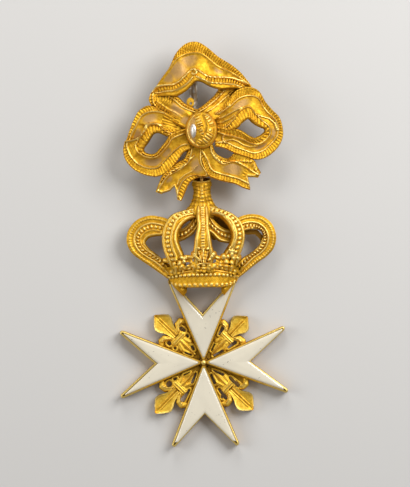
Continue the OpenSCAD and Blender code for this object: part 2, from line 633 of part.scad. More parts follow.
module bow() {
    color("goldenrod") at_badge() translate([0, 0, bow_z])
        translate(knot_at) scale(bow_scale) translate(-knot_at) union() {
        for (rows = [LEFT_LOOP, RIGHT_LOOP]) {
            ribbon(rows, RIBBON, ribbon_t, fine, rib_depth);
        }
        for (rows = [TOP_SHEET, TOP_LEFT_LEG, TOP_RIGHT_LEG]) {
            ribbon(rows, RIBBON, ribbon_t, medium, rib_depth);
        }
        difference() {
            ribbon(LEFT_TAIL, RIBBON, ribbon_t, medium, rib_depth);
            translate([0, 0, -1]) linear_extrude(5) polygon(LEFT_NOTCH);
        }
        difference() {
            ribbon(RIGHT_TAIL, RIBBON, ribbon_t, medium, rib_depth);
            translate([0, 0, -1]) linear_extrude(5) polygon(RIGHT_NOTCH);
        }
        knot();
        staple();
        lug();
        pin_seats();
    }
}

// Bracket of the brooch pin: a base, two lugs and the rivet between them
module pin_bracket() {
    lug_in = eye_w / 2 + lug_gap;
    base_top = bow_z - seat_gap;
    color("goldenrod") at_badge() translate([stem_x, hinge_y, 0]) {
        translate([-bracket_w / 2, -1, base_top - bracket_t]) cube([bracket_w, bracket_len, bracket_t]);
        for (x = [-lug_in - lug_t, lug_in]) {
            translate([x, 0, stem_z]) rotate([0, 90, 0]) cylinder(r = stem_z, h = lug_t, $fn = 32);
            translate([x, -stem_z, stem_z]) cube([lug_t, 2 * stem_z, base_top - stem_z]);
        }
        translate([-lug_in - lug_t / 2, 0, stem_z]) rotate([0, 90, 0])
            cylinder(r = rivet_r, h = 2 * lug_in + lug_t, $fn = 32);
    }
}

// Brooch pin: an eye on the rivet and a straight stem that tapers to its point
module pin_stem() {
    color("silver") at_badge() translate([stem_x, hinge_y, stem_z]) {
        difference() {
            union() {
                translate([-eye_w / 2, 0, 0]) rotate([0, 90, 0]) cylinder(r = eye_r, h = eye_w, $fn = 32);
                rotate([90, 0, 0]) cylinder(d = stem_d, h = stem_taper, $fn = 32);
            }
            translate([-eye_w, 0, 0]) rotate([0, 90, 0])
                cylinder(r = rivet_r + run_gap, h = 2 * eye_w, $fn = 32);
        }
        translate([0, -stem_taper, 0]) rotate([90, 0, 0])
            cylinder(r1 = stem_d / 2, r2 = 0.12, h = stem_reach - stem_taper, $fn = 32);
    }
}

// Catch: an open hook whose mouth faces away from the bow
module pin_catch() {
    base_top = bow_z - seat_gap;
    color("goldenrod") at_badge() translate([stem_x, catch_y, 0]) {
        difference() {
            translate([-catch_half - catch_wall, -catch_len / 2, 0])
                cube([2 * (catch_half + catch_wall), catch_len, base_top]);
            translate([0, catch_len, stem_z]) rotate([90, 0, 0])
                cylinder(r = catch_half, h = 2 * catch_len, $fn = 32);
            translate([-catch_half, -catch_len, -1]) cube([2 * catch_half, 2 * catch_len, stem_z + 1]);
        }
    }
}

// Link between the crown's bar and the bow's staple: a long ring of round wire
module suspension_ring() {
    color("goldenrod") at_badge() translate([neck_x, 0, neck_z]) {
        for (end = [[crown_bar_y, 180], [bow_bar_y, 0]]) {
            translate([0, end[0], 0]) rotate([0, 90, 0]) rotate(end[1])
                rotate_extrude(angle = 180, $fn = 32)
                    translate([link_bend_r, 0]) circle(link_wire_r, $fn = 24);
        }
        for (s = [-1, 1]) {
            translate([0, crown_bar_y, s * link_bend_r]) rotate([-90, 0, 0])
                cylinder(r = link_wire_r, h = bow_bar_y - crown_bar_y, $fn = 24);
        }
    }
}

module enamel_top() { enamel(90); }
module enamel_right() { enamel(0); }
module enamel_bottom() { enamel(270); }
module enamel_left() { enamel(180); }
module fleur_top_left() { fleur(135); }
module fleur_top_right() { fleur(45); }
module fleur_bottom_right() { fleur(315); }
module fleur_bottom_left() { fleur(225); }

bow();
pin_bracket();
pin_stem();
pin_catch();
suspension_ring();
crown();
cross_frame();
enamel_top();
enamel_right();
enamel_bottom();
enamel_left();
fleur_top_left();
fleur_top_right();
fleur_bottom_right();
fleur_bottom_left();
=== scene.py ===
import math
from collections import namedtuple

import bmesh
import bpy
import numpy as np
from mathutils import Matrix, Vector
from mathutils.bvhtree import BVHTree


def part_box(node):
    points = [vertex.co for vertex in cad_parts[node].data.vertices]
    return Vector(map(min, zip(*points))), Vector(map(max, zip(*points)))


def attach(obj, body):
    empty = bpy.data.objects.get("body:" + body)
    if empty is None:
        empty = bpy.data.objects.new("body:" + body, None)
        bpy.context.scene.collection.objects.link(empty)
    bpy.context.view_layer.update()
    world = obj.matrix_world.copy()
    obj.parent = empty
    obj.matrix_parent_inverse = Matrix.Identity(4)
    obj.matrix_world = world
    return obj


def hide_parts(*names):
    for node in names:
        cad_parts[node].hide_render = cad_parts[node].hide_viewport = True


# Looks of an order badge worn as a brooch: a cast ribbon bow, a crown and an eight-pointed cross.
# Tables are in mm, with x and y from the middle of the cross and z from the surface it lies on.
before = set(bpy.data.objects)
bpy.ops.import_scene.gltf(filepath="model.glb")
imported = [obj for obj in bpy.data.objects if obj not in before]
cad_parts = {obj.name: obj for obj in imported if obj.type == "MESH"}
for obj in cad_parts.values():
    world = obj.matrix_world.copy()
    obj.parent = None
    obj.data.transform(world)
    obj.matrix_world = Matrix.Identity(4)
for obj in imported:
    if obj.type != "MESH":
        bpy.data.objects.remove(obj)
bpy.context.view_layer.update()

MM = 0.001
cross_low, cross_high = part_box("cross_frame")
CROSS_MIDDLE = ((cross_low[0] + cross_high[0]) / 2, (cross_low[1] + cross_high[1]) / 2, 0)
# Height of the bow's back, the middle of the knot in x and y, and the axis of the neck in x and z
BOW_BACK = 2.8
KNOT_AT = (0.4, 31.35)
NECK_AT = (0.3, 2.3)

# Bow ribbons, a row for each place along them: left edge x, y, z, right edge x, y, z, and the widths
# of the two milled borders. Left and right are seen along the ribbon, and z is above the bow's back.
TOP_SHEET = [
    [-6.35, 36.3, 0.95, -6.05, 35.75, 0.9, 0.1, 0.3],
    [-5.95, 36.95, 1.15, -5.25, 36.1, 1.5, 0.1, 0.9],
    [-5.1, 38.2, 1.3, -4.2, 36.1, 2.1, 0.1, 1.35],
    [-3.7, 40.1, 1.8, -2.9, 36.1, 2.5, 0.2, 1.5],
    [-2.75, 41.9, 1.8, -1.7, 36.7, 2.6, 0.75, 1.5],
    [-1.4, 43.1, 1.8, -0.9, 37.4, 2.6, 1.3, 1.5],
    [0.1, 43.3, 1.8, -0.2, 38.0, 2.6, 1.4, 1.4],
    [1.5, 42.5, 1.8, 0.7, 37.9, 2.7, 1.15, 1.2],
    [3.0, 41.2, 1.8, 1.8, 37.3, 2.7, 1.1, 1.3],
    [4.7, 40.1, 1.8, 3.1, 36.9, 2.6, 0.9, 1.6],
    [6.0, 39.0, 1.3, 4.4, 37.0, 2.4, 0.6, 1.4],
    [6.8, 38.0, 1.2, 5.6, 36.9, 2.0, 0.3, 0.9],
    [7.4, 37.2, 1.0, 6.7, 36.8, 1.5, 0.1, 0.3]]
TOP_LEFT_LEG = [
    [-4.6, 37.3, 0.8, -6.35, 36.6, 0.8, 0.1, 0.5],
    [-3.9, 36.7, 1.4, -6.62, 35.7, 1.1, 0.2, 0.5],
    [-3.3, 36.3, 1.85, -6.25, 34.8, 1.15, 0.5, 0.4],
    [-2.6, 35.8, 1.8, -5.2, 33.9, 1.2, 0.5, 0.1],
    [-1.7, 35.0, 1.8, -4.1, 33.1, 1.5, 0.5, 0.1],
    [-0.6, 34.4, 1.9, -3.1, 32.4, 1.9, 0.5, 0.1],
    [0.4, 34.0, 2.0, -1.9, 31.7, 2.1, 0.4, 0.1]]
TOP_RIGHT_LEG = [
    [6.0, 36.9, 0.9, 3.6, 37.7, 1.0, 0.5, 0.3],
    [5.1, 35.9, 1.0, 2.8, 36.8, 1.1, 0.7, 0.6],
    [4.5, 35.0, 1.2, 2.2, 36.0, 1.4, 0.3, 0.6],
    [3.9, 34.1, 1.5, 1.3, 35.2, 1.7, 0.1, 0.6],
    [3.1, 33.2, 1.8, 0.4, 34.5, 2.0, 0.1, 0.5],
    [2.0, 32.5, 2.0, -0.4, 34.0, 2.1, 0.1, 0.4]]
RIGHT_LOOP = [
    [1.6, 33.3, 1.6, 2.4, 31.0, 1.7, 0.1, 0.1],
    [3.0, 34.0, 1.9, 3.9, 31.2, 2.1, 0.2, 0.5],
    [4.0, 35.4, 2.1, 5.2, 31.6, 2.5, 0.9, 1.2],
    [5.3, 36.7, 2.0, 5.9, 32.3, 2.6, 1.2, 1.5],
    [6.9, 37.1, 1.9, 6.8, 32.8, 2.6, 1.15, 1.5],
    [8.3, 36.5, 1.7, 7.5, 32.2, 2.4, 0.95, 1.2],
    [9.2, 35.0, 1.6, 8.1, 31.8, 2.2, 0.8, 0.9],
    [10.1, 33.9, 1.5, 8.7, 31.5, 2.0, 0.7, 0.7],
    [11.0, 32.9, 1.3, 9.0, 31.3, 1.8, 0.65, 0.6],
    [11.4, 31.6, 1.1, 9.05, 31.0, 1.7, 0.6, 0.6],
    [11.4, 30.2, 1.0, 8.8, 30.75, 1.7, 0.75, 0.8],
    [10.7, 28.8, 1.1, 8.3, 30.4, 1.8, 1.0, 0.9],
    [9.3, 27.6, 1.2, 7.6, 30.1, 2.0, 1.0, 0.9],
    [7.8, 27.2, 1.3, 6.8, 30.4, 2.1, 0.95, 1.0],
    [6.4, 27.6, 1.5, 5.8, 31.1, 2.1, 0.9, 1.1],
    [4.9, 28.1, 1.7, 5.0, 31.5, 2.1, 0.9, 1.1],
    [3.5, 28.8, 1.8, 3.9, 31.6, 2.1, 0.8, 0.9],
    [2.2, 29.1, 1.9, 2.4, 31.8, 2.1, 0.5, 0.6]]
LEFT_LOOP = [
    [-1.3, 30.6, 1.8, -1.6, 33.2, 1.8, 0.1, 0.1],
    [-2.9, 30.7, 1.8, -3.2, 33.4, 1.8, 0.1, 0.1],
    [-4.1, 30.7, 2.1, -4.9, 34.2, 1.7, 0.5, 0.3],
    [-5.3, 31.2, 2.2, -6.5, 34.9, 1.5, 1.1, 0.85],
    [-6.1, 31.1, 2.3, -7.9, 34.3, 1.3, 1.2, 0.8],
    [-6.6, 30.5, 2.3, -8.8, 32.9, 1.2, 1.1, 0.7],
    [-7.0, 29.9, 2.2, -9.5, 31.2, 1.1, 1.2, 0.45],
    [-7.4, 29.3, 2.0, -10.1, 29.8, 1.0, 1.2, 0.4],
    [-7.55, 28.9, 1.8, -10.25, 28.7, 0.9, 0.8, 0.7],
    [-7.4, 28.6, 1.7, -9.9, 27.5, 1.0, 0.5, 0.9],
    [-6.9, 28.3, 1.8, -8.9, 26.3, 1.1, 0.4, 0.95],
    [-6.2, 28.2, 2.0, -7.4, 25.5, 1.2, 0.4, 1.0],
    [-5.6, 28.5, 2.1, -5.7, 25.2, 1.3, 0.5, 1.2],
    [-5.0, 29.2, 2.1, -4.4, 25.8, 1.5, 0.55, 1.5],
    [-4.3, 30.1, 2.1, -3.4, 26.7, 1.7, 0.6, 1.5],
    [-3.8, 30.9, 2.1, -2.6, 27.7, 1.8, 0.6, 1.2],
    [-2.7, 31.4, 2.1, -1.9, 28.5, 1.9, 0.6, 0.9],
    [-1.2, 31.8, 2.1, -0.9, 28.9, 2.0, 0.5, 0.6]]
LEFT_TAIL = [
    [0.7, 29.2, 1.75, -1.1, 29.8, 1.85, 0.3, 0.3],
    [0.7, 26.9, 1.5, -1.9, 27.7, 1.7, 0.4, 0.6],
    [1.3, 25.2, 1.3, -2.9, 27.1, 1.6, 0.3, 1.0],
    [-0.2, 25.0, 1.3, -4.0, 26.4, 1.55, 0.85, 1.1],
    [-1.3, 24.3, 1.3, -4.9, 25.5, 1.5, 0.9, 0.6],
    [-2.0, 22.9, 1.2, -5.5, 24.3, 1.3, 0.9, 0.3],
    [-2.5, 21.9, 1.1, -5.95, 23.2, 1.2, 0.6, 0.2]]
RIGHT_TAIL = [
    [1.9, 29.4, 1.8, 0.0, 28.6, 1.7, 0.3, 0.3],
    [2.2, 28.4, 1.7, 0.4, 26.9, 1.6, 0.4, 0.8],
    [2.9, 27.8, 1.6, 1.1, 25.3, 1.5, 0.6, 0.9],
    [3.9, 27.5, 1.5, 2.2, 24.7, 1.4, 0.8, 0.9],
    [5.0, 28.3, 1.5, 3.6, 24.3, 1.4, 1.2, 0.85],
    [6.3, 27.9, 1.4, 4.8, 24.0, 1.3, 1.3, 0.8],
    [7.5, 27.1, 1.3, 6.0, 23.4, 1.2, 1.3, 0.8],
    [8.5, 25.9, 1.2, 7.0, 23.1, 1.1, 0.8, 0.5]]
# Notches of the two swallow tails, in x and y
LEFT_NOTCH = [[-3.35, 23.95], [-3.05, 22.1], [-3.0, 20], [-6.5, 20], [-5.1, 22.95], [-4.0, 23.3]]
RIGHT_NOTCH = [[6.5, 24.95], [8.2, 24.8], [9.5, 24.5], [9.5, 21], [6.95, 21.5], [6.75, 23.9]]
# What is cut off the right tail beyond its outer tip
RIGHT_TRIM = [
    [7.8, 27.8], [7.6, 26.9], [7.85, 26.3], [8.15, 25.8], [8.4, 25.3], [8.3, 24.6], [9.6, 24.6],
    [9.6, 27.8]]

# Crown bands, in the same columns, with z above the surface that the badge lies on
CROWN_LEFT_LOOP = [
    [-4.6, 17.4, 3.2, -4.4, 19.5, 3.2, 0.5, 0.7],
    [-5.6, 17.3, 2.9, -5.6, 19.9, 2.8, 0.55, 0.75],
    [-6.5, 17.2, 2.7, -7.0, 20.05, 2.5, 0.6, 0.8],
    [-7.1, 17.0, 2.6, -8.6, 19.5, 2.4, 0.6, 0.85],
    [-7.45, 16.5, 2.5, -9.75, 18.2, 2.4, 0.6, 0.85],
    [-7.4, 16.1, 2.5, -10.05, 16.6, 2.4, 0.6, 0.85],
    [-6.9, 15.5, 2.5, -9.5, 15.2, 2.4, 0.6, 0.85],
    [-6.2, 14.9, 2.6, -8.4, 14.2, 2.4, 0.5, 0.8],
    [-5.5, 14.3, 2.7, -7.0, 13.2, 2.5, 0.4, 0.7],
    [-4.8, 13.6, 2.9, -5.8, 12.3, 2.6, 0.35, 0.6],
    [-4.0, 12.8, 3.1, -4.6, 11.4, 2.7, 0.3, 0.5]]
CROWN_RIGHT_LOOP = [
    [4.9, 19.3, 3.2, 5.0, 17.6, 3.2, 0.6, 0.5],
    [5.9, 19.8, 2.8, 6.0, 17.7, 2.9, 0.75, 0.5],
    [7.1, 19.95, 2.5, 6.9, 17.9, 2.7, 0.8, 0.5],
    [8.5, 19.6, 2.4, 7.7, 17.9, 2.6, 0.85, 0.5],
    [9.7, 18.5, 2.4, 8.3, 17.5, 2.5, 0.85, 0.5],
    [10.2, 16.9, 2.4, 8.35, 16.7, 2.5, 0.8, 0.45],
    [9.9, 15.4, 2.4, 7.9, 15.8, 2.5, 0.8, 0.45],
    [9.0, 14.3, 2.4, 7.3, 15.1, 2.6, 0.75, 0.45],
    [7.7, 13.4, 2.5, 6.5, 14.5, 2.7, 0.65, 0.4],
    [6.4, 12.4, 2.6, 5.6, 13.9, 2.9, 0.55, 0.35],
    [5.0, 11.3, 2.7, 4.6, 12.9, 3.1, 0.5, 0.3]]
LEFT_ARCH = [
    [-0.3, 19.6, 3.4, -0.9, 21.0, 3.3, 0.5, 0.6],
    [-1.6, 19.5, 4.0, -2.5, 20.6, 3.5, 0.5, 0.6],
    [-2.6, 18.7, 4.4, -4.0, 20.0, 3.7, 0.6, 0.8],
    [-3.15, 17.7, 4.6, -5.0, 18.5, 3.9, 0.7, 1.0],
    [-3.2, 16.6, 4.7, -5.3, 16.9, 4.0, 0.8, 1.0],
    [-2.9, 15.6, 4.7, -5.15, 15.5, 4.0, 0.8, 1.0],
    [-2.5, 14.6, 4.6, -4.75, 14.3, 4.0, 0.8, 1.0],
    [-2.3, 13.4, 4.4, -4.2, 13.0, 3.8, 0.7, 0.9],
    [-2.3, 12.2, 4.3, -3.9, 12.0, 3.5, 0.6, 0.8]]
RIGHT_ARCH = [
    [1.4, 21.2, 3.3, 0.9, 19.8, 3.4, 0.6, 0.5],
    [2.9, 20.75, 3.5, 2.5, 20.0, 4.0, 0.6, 0.3],
    [4.5, 20.0, 3.7, 3.5, 19.2, 4.4, 0.7, 0.4],
    [5.6, 18.8, 3.9, 4.15, 18.1, 4.6, 0.9, 0.5],
    [6.0, 17.2, 4.0, 4.4, 17.0, 4.7, 0.95, 0.6],
    [5.8, 15.8, 4.0, 4.0, 15.8, 4.7, 1.0, 0.7],
    [5.35, 14.6, 4.0, 3.3, 14.8, 4.6, 1.0, 0.8],
    [4.9, 13.3, 3.8, 2.8, 13.6, 4.4, 0.9, 0.7],
    [4.6, 12.1, 3.5, 2.7, 12.4, 4.3, 0.8, 0.6]]
MIDDLE_ARCH = [
    [1.0, 21.6, 2.8, -0.4, 21.6, 2.8, 0.1, 0.1],
    [1.05, 20.9, 3.5, -0.45, 20.9, 3.5, 0.4, 0.4],
    [1.1, 20.3, 3.9, -0.48, 20.3, 3.9, 0.45, 0.45],
    [1.15, 19.6, 4.4, -0.5, 19.6, 4.4, 0.5, 0.5],
    [1.15, 18.4, 5.0, -0.45, 18.4, 5.0, 0.55, 0.55],
    [1.35, 17.0, 5.3, -0.8, 17.0, 5.3, 0.7, 0.7],
    [1.5, 15.8, 5.3, -0.95, 15.8, 5.3, 0.8, 0.8],
    [1.7, 14.8, 5.2, -1.1, 14.8, 5.2, 0.9, 0.9],
    [1.6, 13.6, 5.0, -1.0, 13.6, 5.0, 0.9, 0.9],
    [1.4, 12.2, 4.8, -0.9, 12.2, 4.8, 0.8, 0.8]]
LEFT_REAR_ARCH = [
    [-0.3, 18.6, 3.3, -0.7, 20.3, 3.3, 0.3, 0.3],
    [-0.9, 17.6, 3.3, -1.3, 19.2, 3.3, 0.35, 0.35],
    [-1.8, 16.9, 3.2, -2.2, 18.3, 3.2, 0.35, 0.35],
    [-3.0, 16.4, 3.0, -3.1, 18.1, 3.0, 0.35, 0.35],
    [-4.6, 16.0, 2.8, -4.8, 18.0, 2.8, 0.3, 0.3]]
RIGHT_REAR_ARCH = [
    [1.1, 20.1, 3.3, 0.9, 17.8, 3.3, 0.3, 0.3],
    [1.9, 19.2, 3.3, 1.6, 17.2, 3.3, 0.9, 0.6],
    [2.9, 18.3, 3.2, 2.4, 16.4, 3.2, 0.7, 0.5],
    [3.9, 17.9, 3.0, 3.4, 16.1, 3.0, 0.5, 0.4],
    [5.3, 17.8, 2.8, 5.0, 15.9, 2.8, 0.3, 0.3]]
CIRCLET = [
    [-4.6, 11.9, 2.7, -4.1, 10.7, 2.6, 0.3, 0.3],
    [-3.6, 12.25, 3.6, -3.1, 10.3, 3.6, 0.45, 0.35],
    [-2.4, 12.5, 4.3, -1.9, 10.2, 4.3, 0.6, 0.4],
    [-1.0, 12.65, 4.7, -0.7, 10.2, 4.7, 0.7, 0.4],
    [0.3, 12.7, 4.8, 0.4, 10.2, 4.8, 0.75, 0.4],
    [1.7, 12.65, 4.7, 1.5, 10.2, 4.7, 0.7, 0.4],
    [3.1, 12.45, 4.3, 2.7, 10.15, 4.3, 0.6, 0.4],
    [4.1, 12.2, 3.6, 3.6, 10.3, 3.6, 0.45, 0.35],
    [5.0, 11.8, 2.7, 4.6, 10.8, 2.6, 0.3, 0.3]]

# What is raised on a ribbon: its kind, the edge it is measured from, its place as a share of the
# border's width plus an offset, its half width or radius, its height, and its pitch along the edge.
# Ribs fill the border, and a ridge is a round line. Beads and rungs are rows of round lumps and of
# short bars, and a stipple is a band of fine dots.
Feature = namedtuple("Feature", "kind side share offset size height pitch", defaults=(0,))


def both_sides(kind, *values):
    """The same feature along the left and the right edge."""
    return [Feature(kind, side, *values) for side in ("left", "right")]


BOW_RELIEF = (both_sides("ribs", 1, 0, 0, 0.13, 0.42) + both_sides("ridge", 1, 0.08, 0.14, 0.17)
              + both_sides("ridge", 0, 0.14, 0.13, 0.1))
SHEET_RELIEF = [
    Feature("ribs", "left", 1, 0, 0, 0.2, 0.36),
    Feature("ridge", "left", 1, 0.1, 0.13, 0.12),
    Feature("ridge", "right", 0, 0.1, 0.12, 0.07)]

# What is drawn on a ribbon or the knot along a line of its own: its kind, its half width, its height,
# its pitch along the line, and the line in x and y. A cord is a round line, ribs are cuts across the
# line, bars are raised strokes across it, a swell is a soft rise or hollow, and a lap is a step that
# falls away to the line's left.
Line = namedtuple("Line", "kind size height pitch points")
GATHERS = [
    Line("ribs", 1.2, 0.15, 0.31, [(-4.0, 30.9), (-4.0, 31.8), (-3.7, 32.7), (-3.2, 33.6)])]
SHEET_LINES = [
    Line("cord", 0.17, 0.22, 0, [
        (-6.1, 36.7), (-5.8, 37.1), (-5.3, 37.45), (-4.4, 37.6), (-3.5, 37.65), (-2.8, 37.8), (-2.2, 38.2),
        (-1.7, 38.7), (-1.2, 39.25), (-0.8, 39.6), (-0.35, 39.65), (-0.05, 39.35), (-0.15, 39.0),
        (-0.5, 38.9), (-0.7, 39.1)]),
    Line("cord", 0.15, 0.2, 0, [
        (-6.3, 36.1), (-5.7, 36.55), (-4.6, 36.75), (-3.4, 36.75), (-2.8, 36.85), (-2.2, 37.15),
        (-1.6, 37.5), (-1.0, 38.05), (-0.6, 38.5)]),
    Line("cord", 0.16, 0.22, 0, [
        (0.05, 39.5), (0.4, 39.3), (0.8, 39.0), (1.3, 38.7), (2.2, 38.5), (3.5, 38.5), (5.0, 38.3),
        (6.0, 37.9), (6.8, 37.4)]),
    Line("cord", 0.15, 0.2, 0, [
        (-0.1, 38.6), (0.9, 38.1), (1.8, 37.7), (3.5, 37.6), (5.0, 37.45), (6.0, 37.1)]),
    Line("ribs", 0.34, 0.17, 0.38, [(0.9, 38.45), (1.8, 38.1), (3.5, 38.05), (5.0, 37.9), (6.2, 37.5)]),
    Line("ribs", 0.32, 0.16, 0.38, [(-5.8, 36.9), (-4.6, 37.2), (-3.0, 37.25), (-2.2, 37.7), (-1.1, 38.7)]),
    Line("swell", 1.0, 0.12, 0, [(0.1, 39.9), (0.4, 41.8)]),
    Line("swell", 1.1, -0.12, 0, [(-1.2, 39.9), (-1.0, 41.8)]),
    Line("swell", 1.0, 0.1, 0, [(-2.4, 38.6), (-2.5, 41.0)]),
    Line("swell", 0.9, -0.1, 0, [(-3.6, 38.0), (-3.9, 39.8)]),
    Line("swell", 0.9, -0.14, 0, [(1.7, 38.9), (1.5, 41.3)]),
    Line("swell", 0.8, -0.1, 0, [(3.5, 38.9), (3.5, 40.2)])]
LEFT_LEG_LINES = GATHERS + [
    Line("ribs", 0.55, 0.16, 0.36, [(-5.9, 35.7), (-5.1, 35.75), (-4.2, 35.6), (-3.2, 35.2)]),
    Line("ribs", 0.4, 0.15, 0.36, [
        (-6.2, 36.3), (-6.2, 35.4), (-5.7, 34.8), (-4.9, 34.3), (-4.3, 33.8), (-3.4, 33.3)]),
    Line("cord", 0.13, 0.12, 0, [(-5.6, 35.5), (-4.8, 34.9), (-4.0, 34.3), (-3.0, 33.8), (-2.2, 33.2)]),
    Line("swell", 0.6, 0.18, 0, [(-4.6, 35.4), (-2.6, 34.4), (-1.4, 33.6)])]
LEFT_LOOP_LINES = GATHERS + [
    Line("lap", 1.2, -0.3, 0, [
        (-10.2, 30.1), (-9.2, 30.25), (-8.5, 30.45), (-7.9, 30.75), (-7.5, 31.2), (-7.3, 31.8),
        (-7.2, 32.4)]),
    Line("cord", 0.2, 0.2, 0, [
        (-9.9, 30.1), (-9.2, 30.2), (-8.5, 30.4), (-7.9, 30.7), (-7.5, 31.15), (-7.3, 31.7), (-7.1, 32.2),
        (-6.4, 32.45), (-5.6, 32.4), (-4.9, 32.1)]),
    Line("ribs", 0.45, 0.1, 0.34, [(-9.4, 29.4), (-8.6, 29.6), (-7.9, 30.1), (-7.4, 30.7)]),
    Line("swell", 0.9, -0.14, 0, [(-8.0, 27.8), (-6.6, 27.2), (-5.4, 27.5), (-4.4, 28.6)])]
RIGHT_LEG_LINES = [
    Line("cord", 0.14, 0.16, 0, [(4.9, 36.6), (3.8, 35.8), (2.9, 35.0), (2.0, 34.3), (1.2, 33.8)]),
    Line("cord", 0.13, 0.14, 0, [(5.2, 36.1), (4.4, 35.2), (3.5, 34.4), (2.4, 33.6)]),
    Line("cord", 0.13, 0.12, 0, [(4.2, 37.0), (3.2, 36.2), (2.3, 35.4), (1.3, 34.6)]),
    Line("swell", 0.4, -0.14, 0, [(4.4, 36.3), (3.2, 35.3), (2.0, 34.4)])]
RIGHT_LOOP_LINES = [
    Line("cord", 0.14, 0.16, 0, [(2.2, 32.9), (3.2, 33.0), (4.2, 33.5), (5.1, 34.0), (5.9, 34.3)]),
    Line("cord", 0.13, 0.14, 0, [(2.4, 32.3), (3.3, 32.4), (4.2, 32.8), (4.9, 33.3)]),
    Line("cord", 0.13, 0.14, 0, [(2.1, 33.5), (3.0, 33.55), (3.8, 34.1), (4.3, 34.8)]),
    Line("ribs", 0.5, 0.1, 0.3, [(2.6, 31.7), (3.6, 31.8), (4.6, 32.3)]),
    Line("cord", 0.15, 0.18, 0, [(8.0, 33.3), (8.7, 33.05), (9.6, 32.75), (10.3, 32.1), (10.6, 31.2)]),
    Line("swell", 1.0, 0.14, 0, [(7.2, 33.9), (8.0, 35.6)]),
    Line("swell", 0.9, -0.12, 0, [(6.2, 34.5), (6.8, 36.0)]),
    Line("cord", 0.13, 0.15, 0, [
        (3.6, 29.9), (4.6, 30.0), (5.3, 29.7), (6.1, 29.2), (6.9, 28.95), (7.8, 29.0)]),
    Line("cord", 0.15, 0.18, 0, [(3.7, 29.6), (3.3, 29.9), (3.25, 30.4), (3.6, 30.65), (4.4, 30.55)]),
    Line("swell", 0.8, -0.12, 0, [(8.0, 28.6), (9.0, 28.9), (9.9, 29.8)])]
LEFT_TAIL_LINES = [
    Line("cord", 0.14, 0.16, 0, [
        (-0.6, 28.0), (-1.5, 27.1), (-2.5, 26.5), (-3.8, 25.9), (-4.6, 25.0), (-5.2, 24.1)]),
    Line("cord", 0.13, 0.14, 0, [(-0.3, 26.6), (-1.0, 25.9), (-2.0, 25.4), (-2.7, 24.8), (-3.0, 24.1)]),
    Line("cord", 0.14, 0.14, 0, [
        (-5.6, 23.4), (-5.1, 23.15), (-4.1, 23.5), (-3.4, 24.1), (-3.1, 23.4), (-2.9, 22.4), (-2.6, 22.1)]),
    Line("swell", 0.8, -0.14, 0, [(-0.2, 28.4), (-1.2, 26.5), (-3.6, 25.2), (-4.2, 24.0)])]
RIGHT_TAIL_LINES = [
    Line("cord", 0.13, 0.14, 0, [
        (2.0, 28.2), (2.4, 27.6), (3.0, 27.1), (4.2, 26.95), (5.5, 27.1), (7.0, 27.0)]),
    Line("ribs", 0.3, 0.09, 0.36, [(6.9, 26.4), (6.3, 25.8), (6.0, 25.2), (6.1, 24.5)]),
    Line("cord", 0.14, 0.15, 0, [(7.4, 26.6), (7.6, 25.9), (8.0, 25.3), (7.3, 25.1), (6.5, 25.2)]),
    Line("cord", 0.13, 0.13, 0, [(6.35, 25.0), (6.5, 24.3), (6.6, 23.7)]),
    Line("swell", 1.0, -0.08, 0, [(2.9, 27.0), (3.1, 25.4)]),
    Line("swell", 1.0, -0.08, 0, [(5.0, 27.1), (5.1, 25.2)])]
KNOT_LINES = [
    Line("bars", 0.48, 0.17, 0.4, [(0.35, 31.75), (0.2, 32.2), (0.0, 32.7), (-0.25, 33.25)]),
    Line("bars", 0.4, 0.17, 0.42, [(1.0, 33.45), (1.45, 32.8), (1.8, 32.2), (1.95, 31.75)]),
    Line("bars", 0.55, 0.17, 0.42, [(1.75, 31.05), (1.35, 30.45), (0.95, 29.95), (0.55, 29.5)]),
    Line("bars", 0.34, 0.15, 0.42, [(0.35, 30.1), (0.0, 29.55), (-0.35, 29.15)]),
    Line("bars", 0.36, 0.15, 0.4, [(0.05, 31.7), (0.4, 31.2), (0.55, 30.75), (0.35, 30.4)]),
    Line("cord", 0.13, 0.12, 0, [(-0.6, 33.3), (-1.2, 32.4), (-1.45, 31.3), (-1.2, 30.2), (-0.6, 29.5)]),
    Line("swell", 0.24, -0.12, 0, [(0.6, 33.6), (0.9, 32.6), (1.1, 31.8), (0.95, 31.0)])]
# Places where the gilding is rubbed to a grey-brown satin: x, y and radius
RUBBED = [
    (-1.1, 41.1, 1.4), (-2.6, 39.5, 1.5), (-4.0, 38.6, 0.9), (-6.6, 33.4, 1.3), (-8.6, 31.2, 1.0),
    (-6.2, 27.2, 1.5), (-4.4, 28.5, 0.9), (5.6, 35.0, 1.6), (8.6, 28.8, 1.3), (10.1, 30.6, 0.9),
    (4.4, 26.2, 1.6), (-0.2, 26.6, 1.2), (-2.6, 34.4, 1.2), (-1.7, 32.6, 0.8), (-4.2, 25.0, 0.7),
    (3.0, 39.6, 0.8)]

# Relief of a ribbon: the width of a border that has it at full height, how soon ribs rise at the
# border's edges, the half width of a rung, and how soon strokes and dots fade at their ends
FULL_BORDER = 0.3
RIB_END = 0.12
RUNG_HALF = 0.19
STROKE_END = 0.15
DOTS_END = 0.2
# How soon a line's ribs, bars or lap rise at its two ends, and where a rubbed place ends as a share
# of its radius
LINE_END = 0.25
RUBBED_END = 1.35
# Mesh of a ribbon: the places tried between two rows, its step along the edge and between the
# borders, the points across a border, how far they go past it, the most of the width that both may
# take, and how much less the border takes
TRIED = 40
RIBBON_STEP = 0.09
FIELD_STEP = 0.13
BORDER_POINTS = 14
PAST_BORDER = 0.34
BORDER_SHARE = 0.46
BORDER_LESS = 0.25
# Rounding of a ribbon's edges: how deep and how wide
ROLL_DEPTH = 0.14
ROLL_WIDTH = 0.22
# Painted light and shade run from 0, brown painted shade in the recesses, to 1, pale painted highlights
# on the ridges, and the undersides of ribbons are painted in shade. Satin runs from 0 to 1 where the
# gilding is rubbed, and is higher on the knot's pearl.
UNDERSIDE_SHADE = 0.25
PEARL_SATIN = 3
# How far from a border the satin starts, and how soon it is full
SATIN_FROM = 0.3
SATIN_END = 0.15
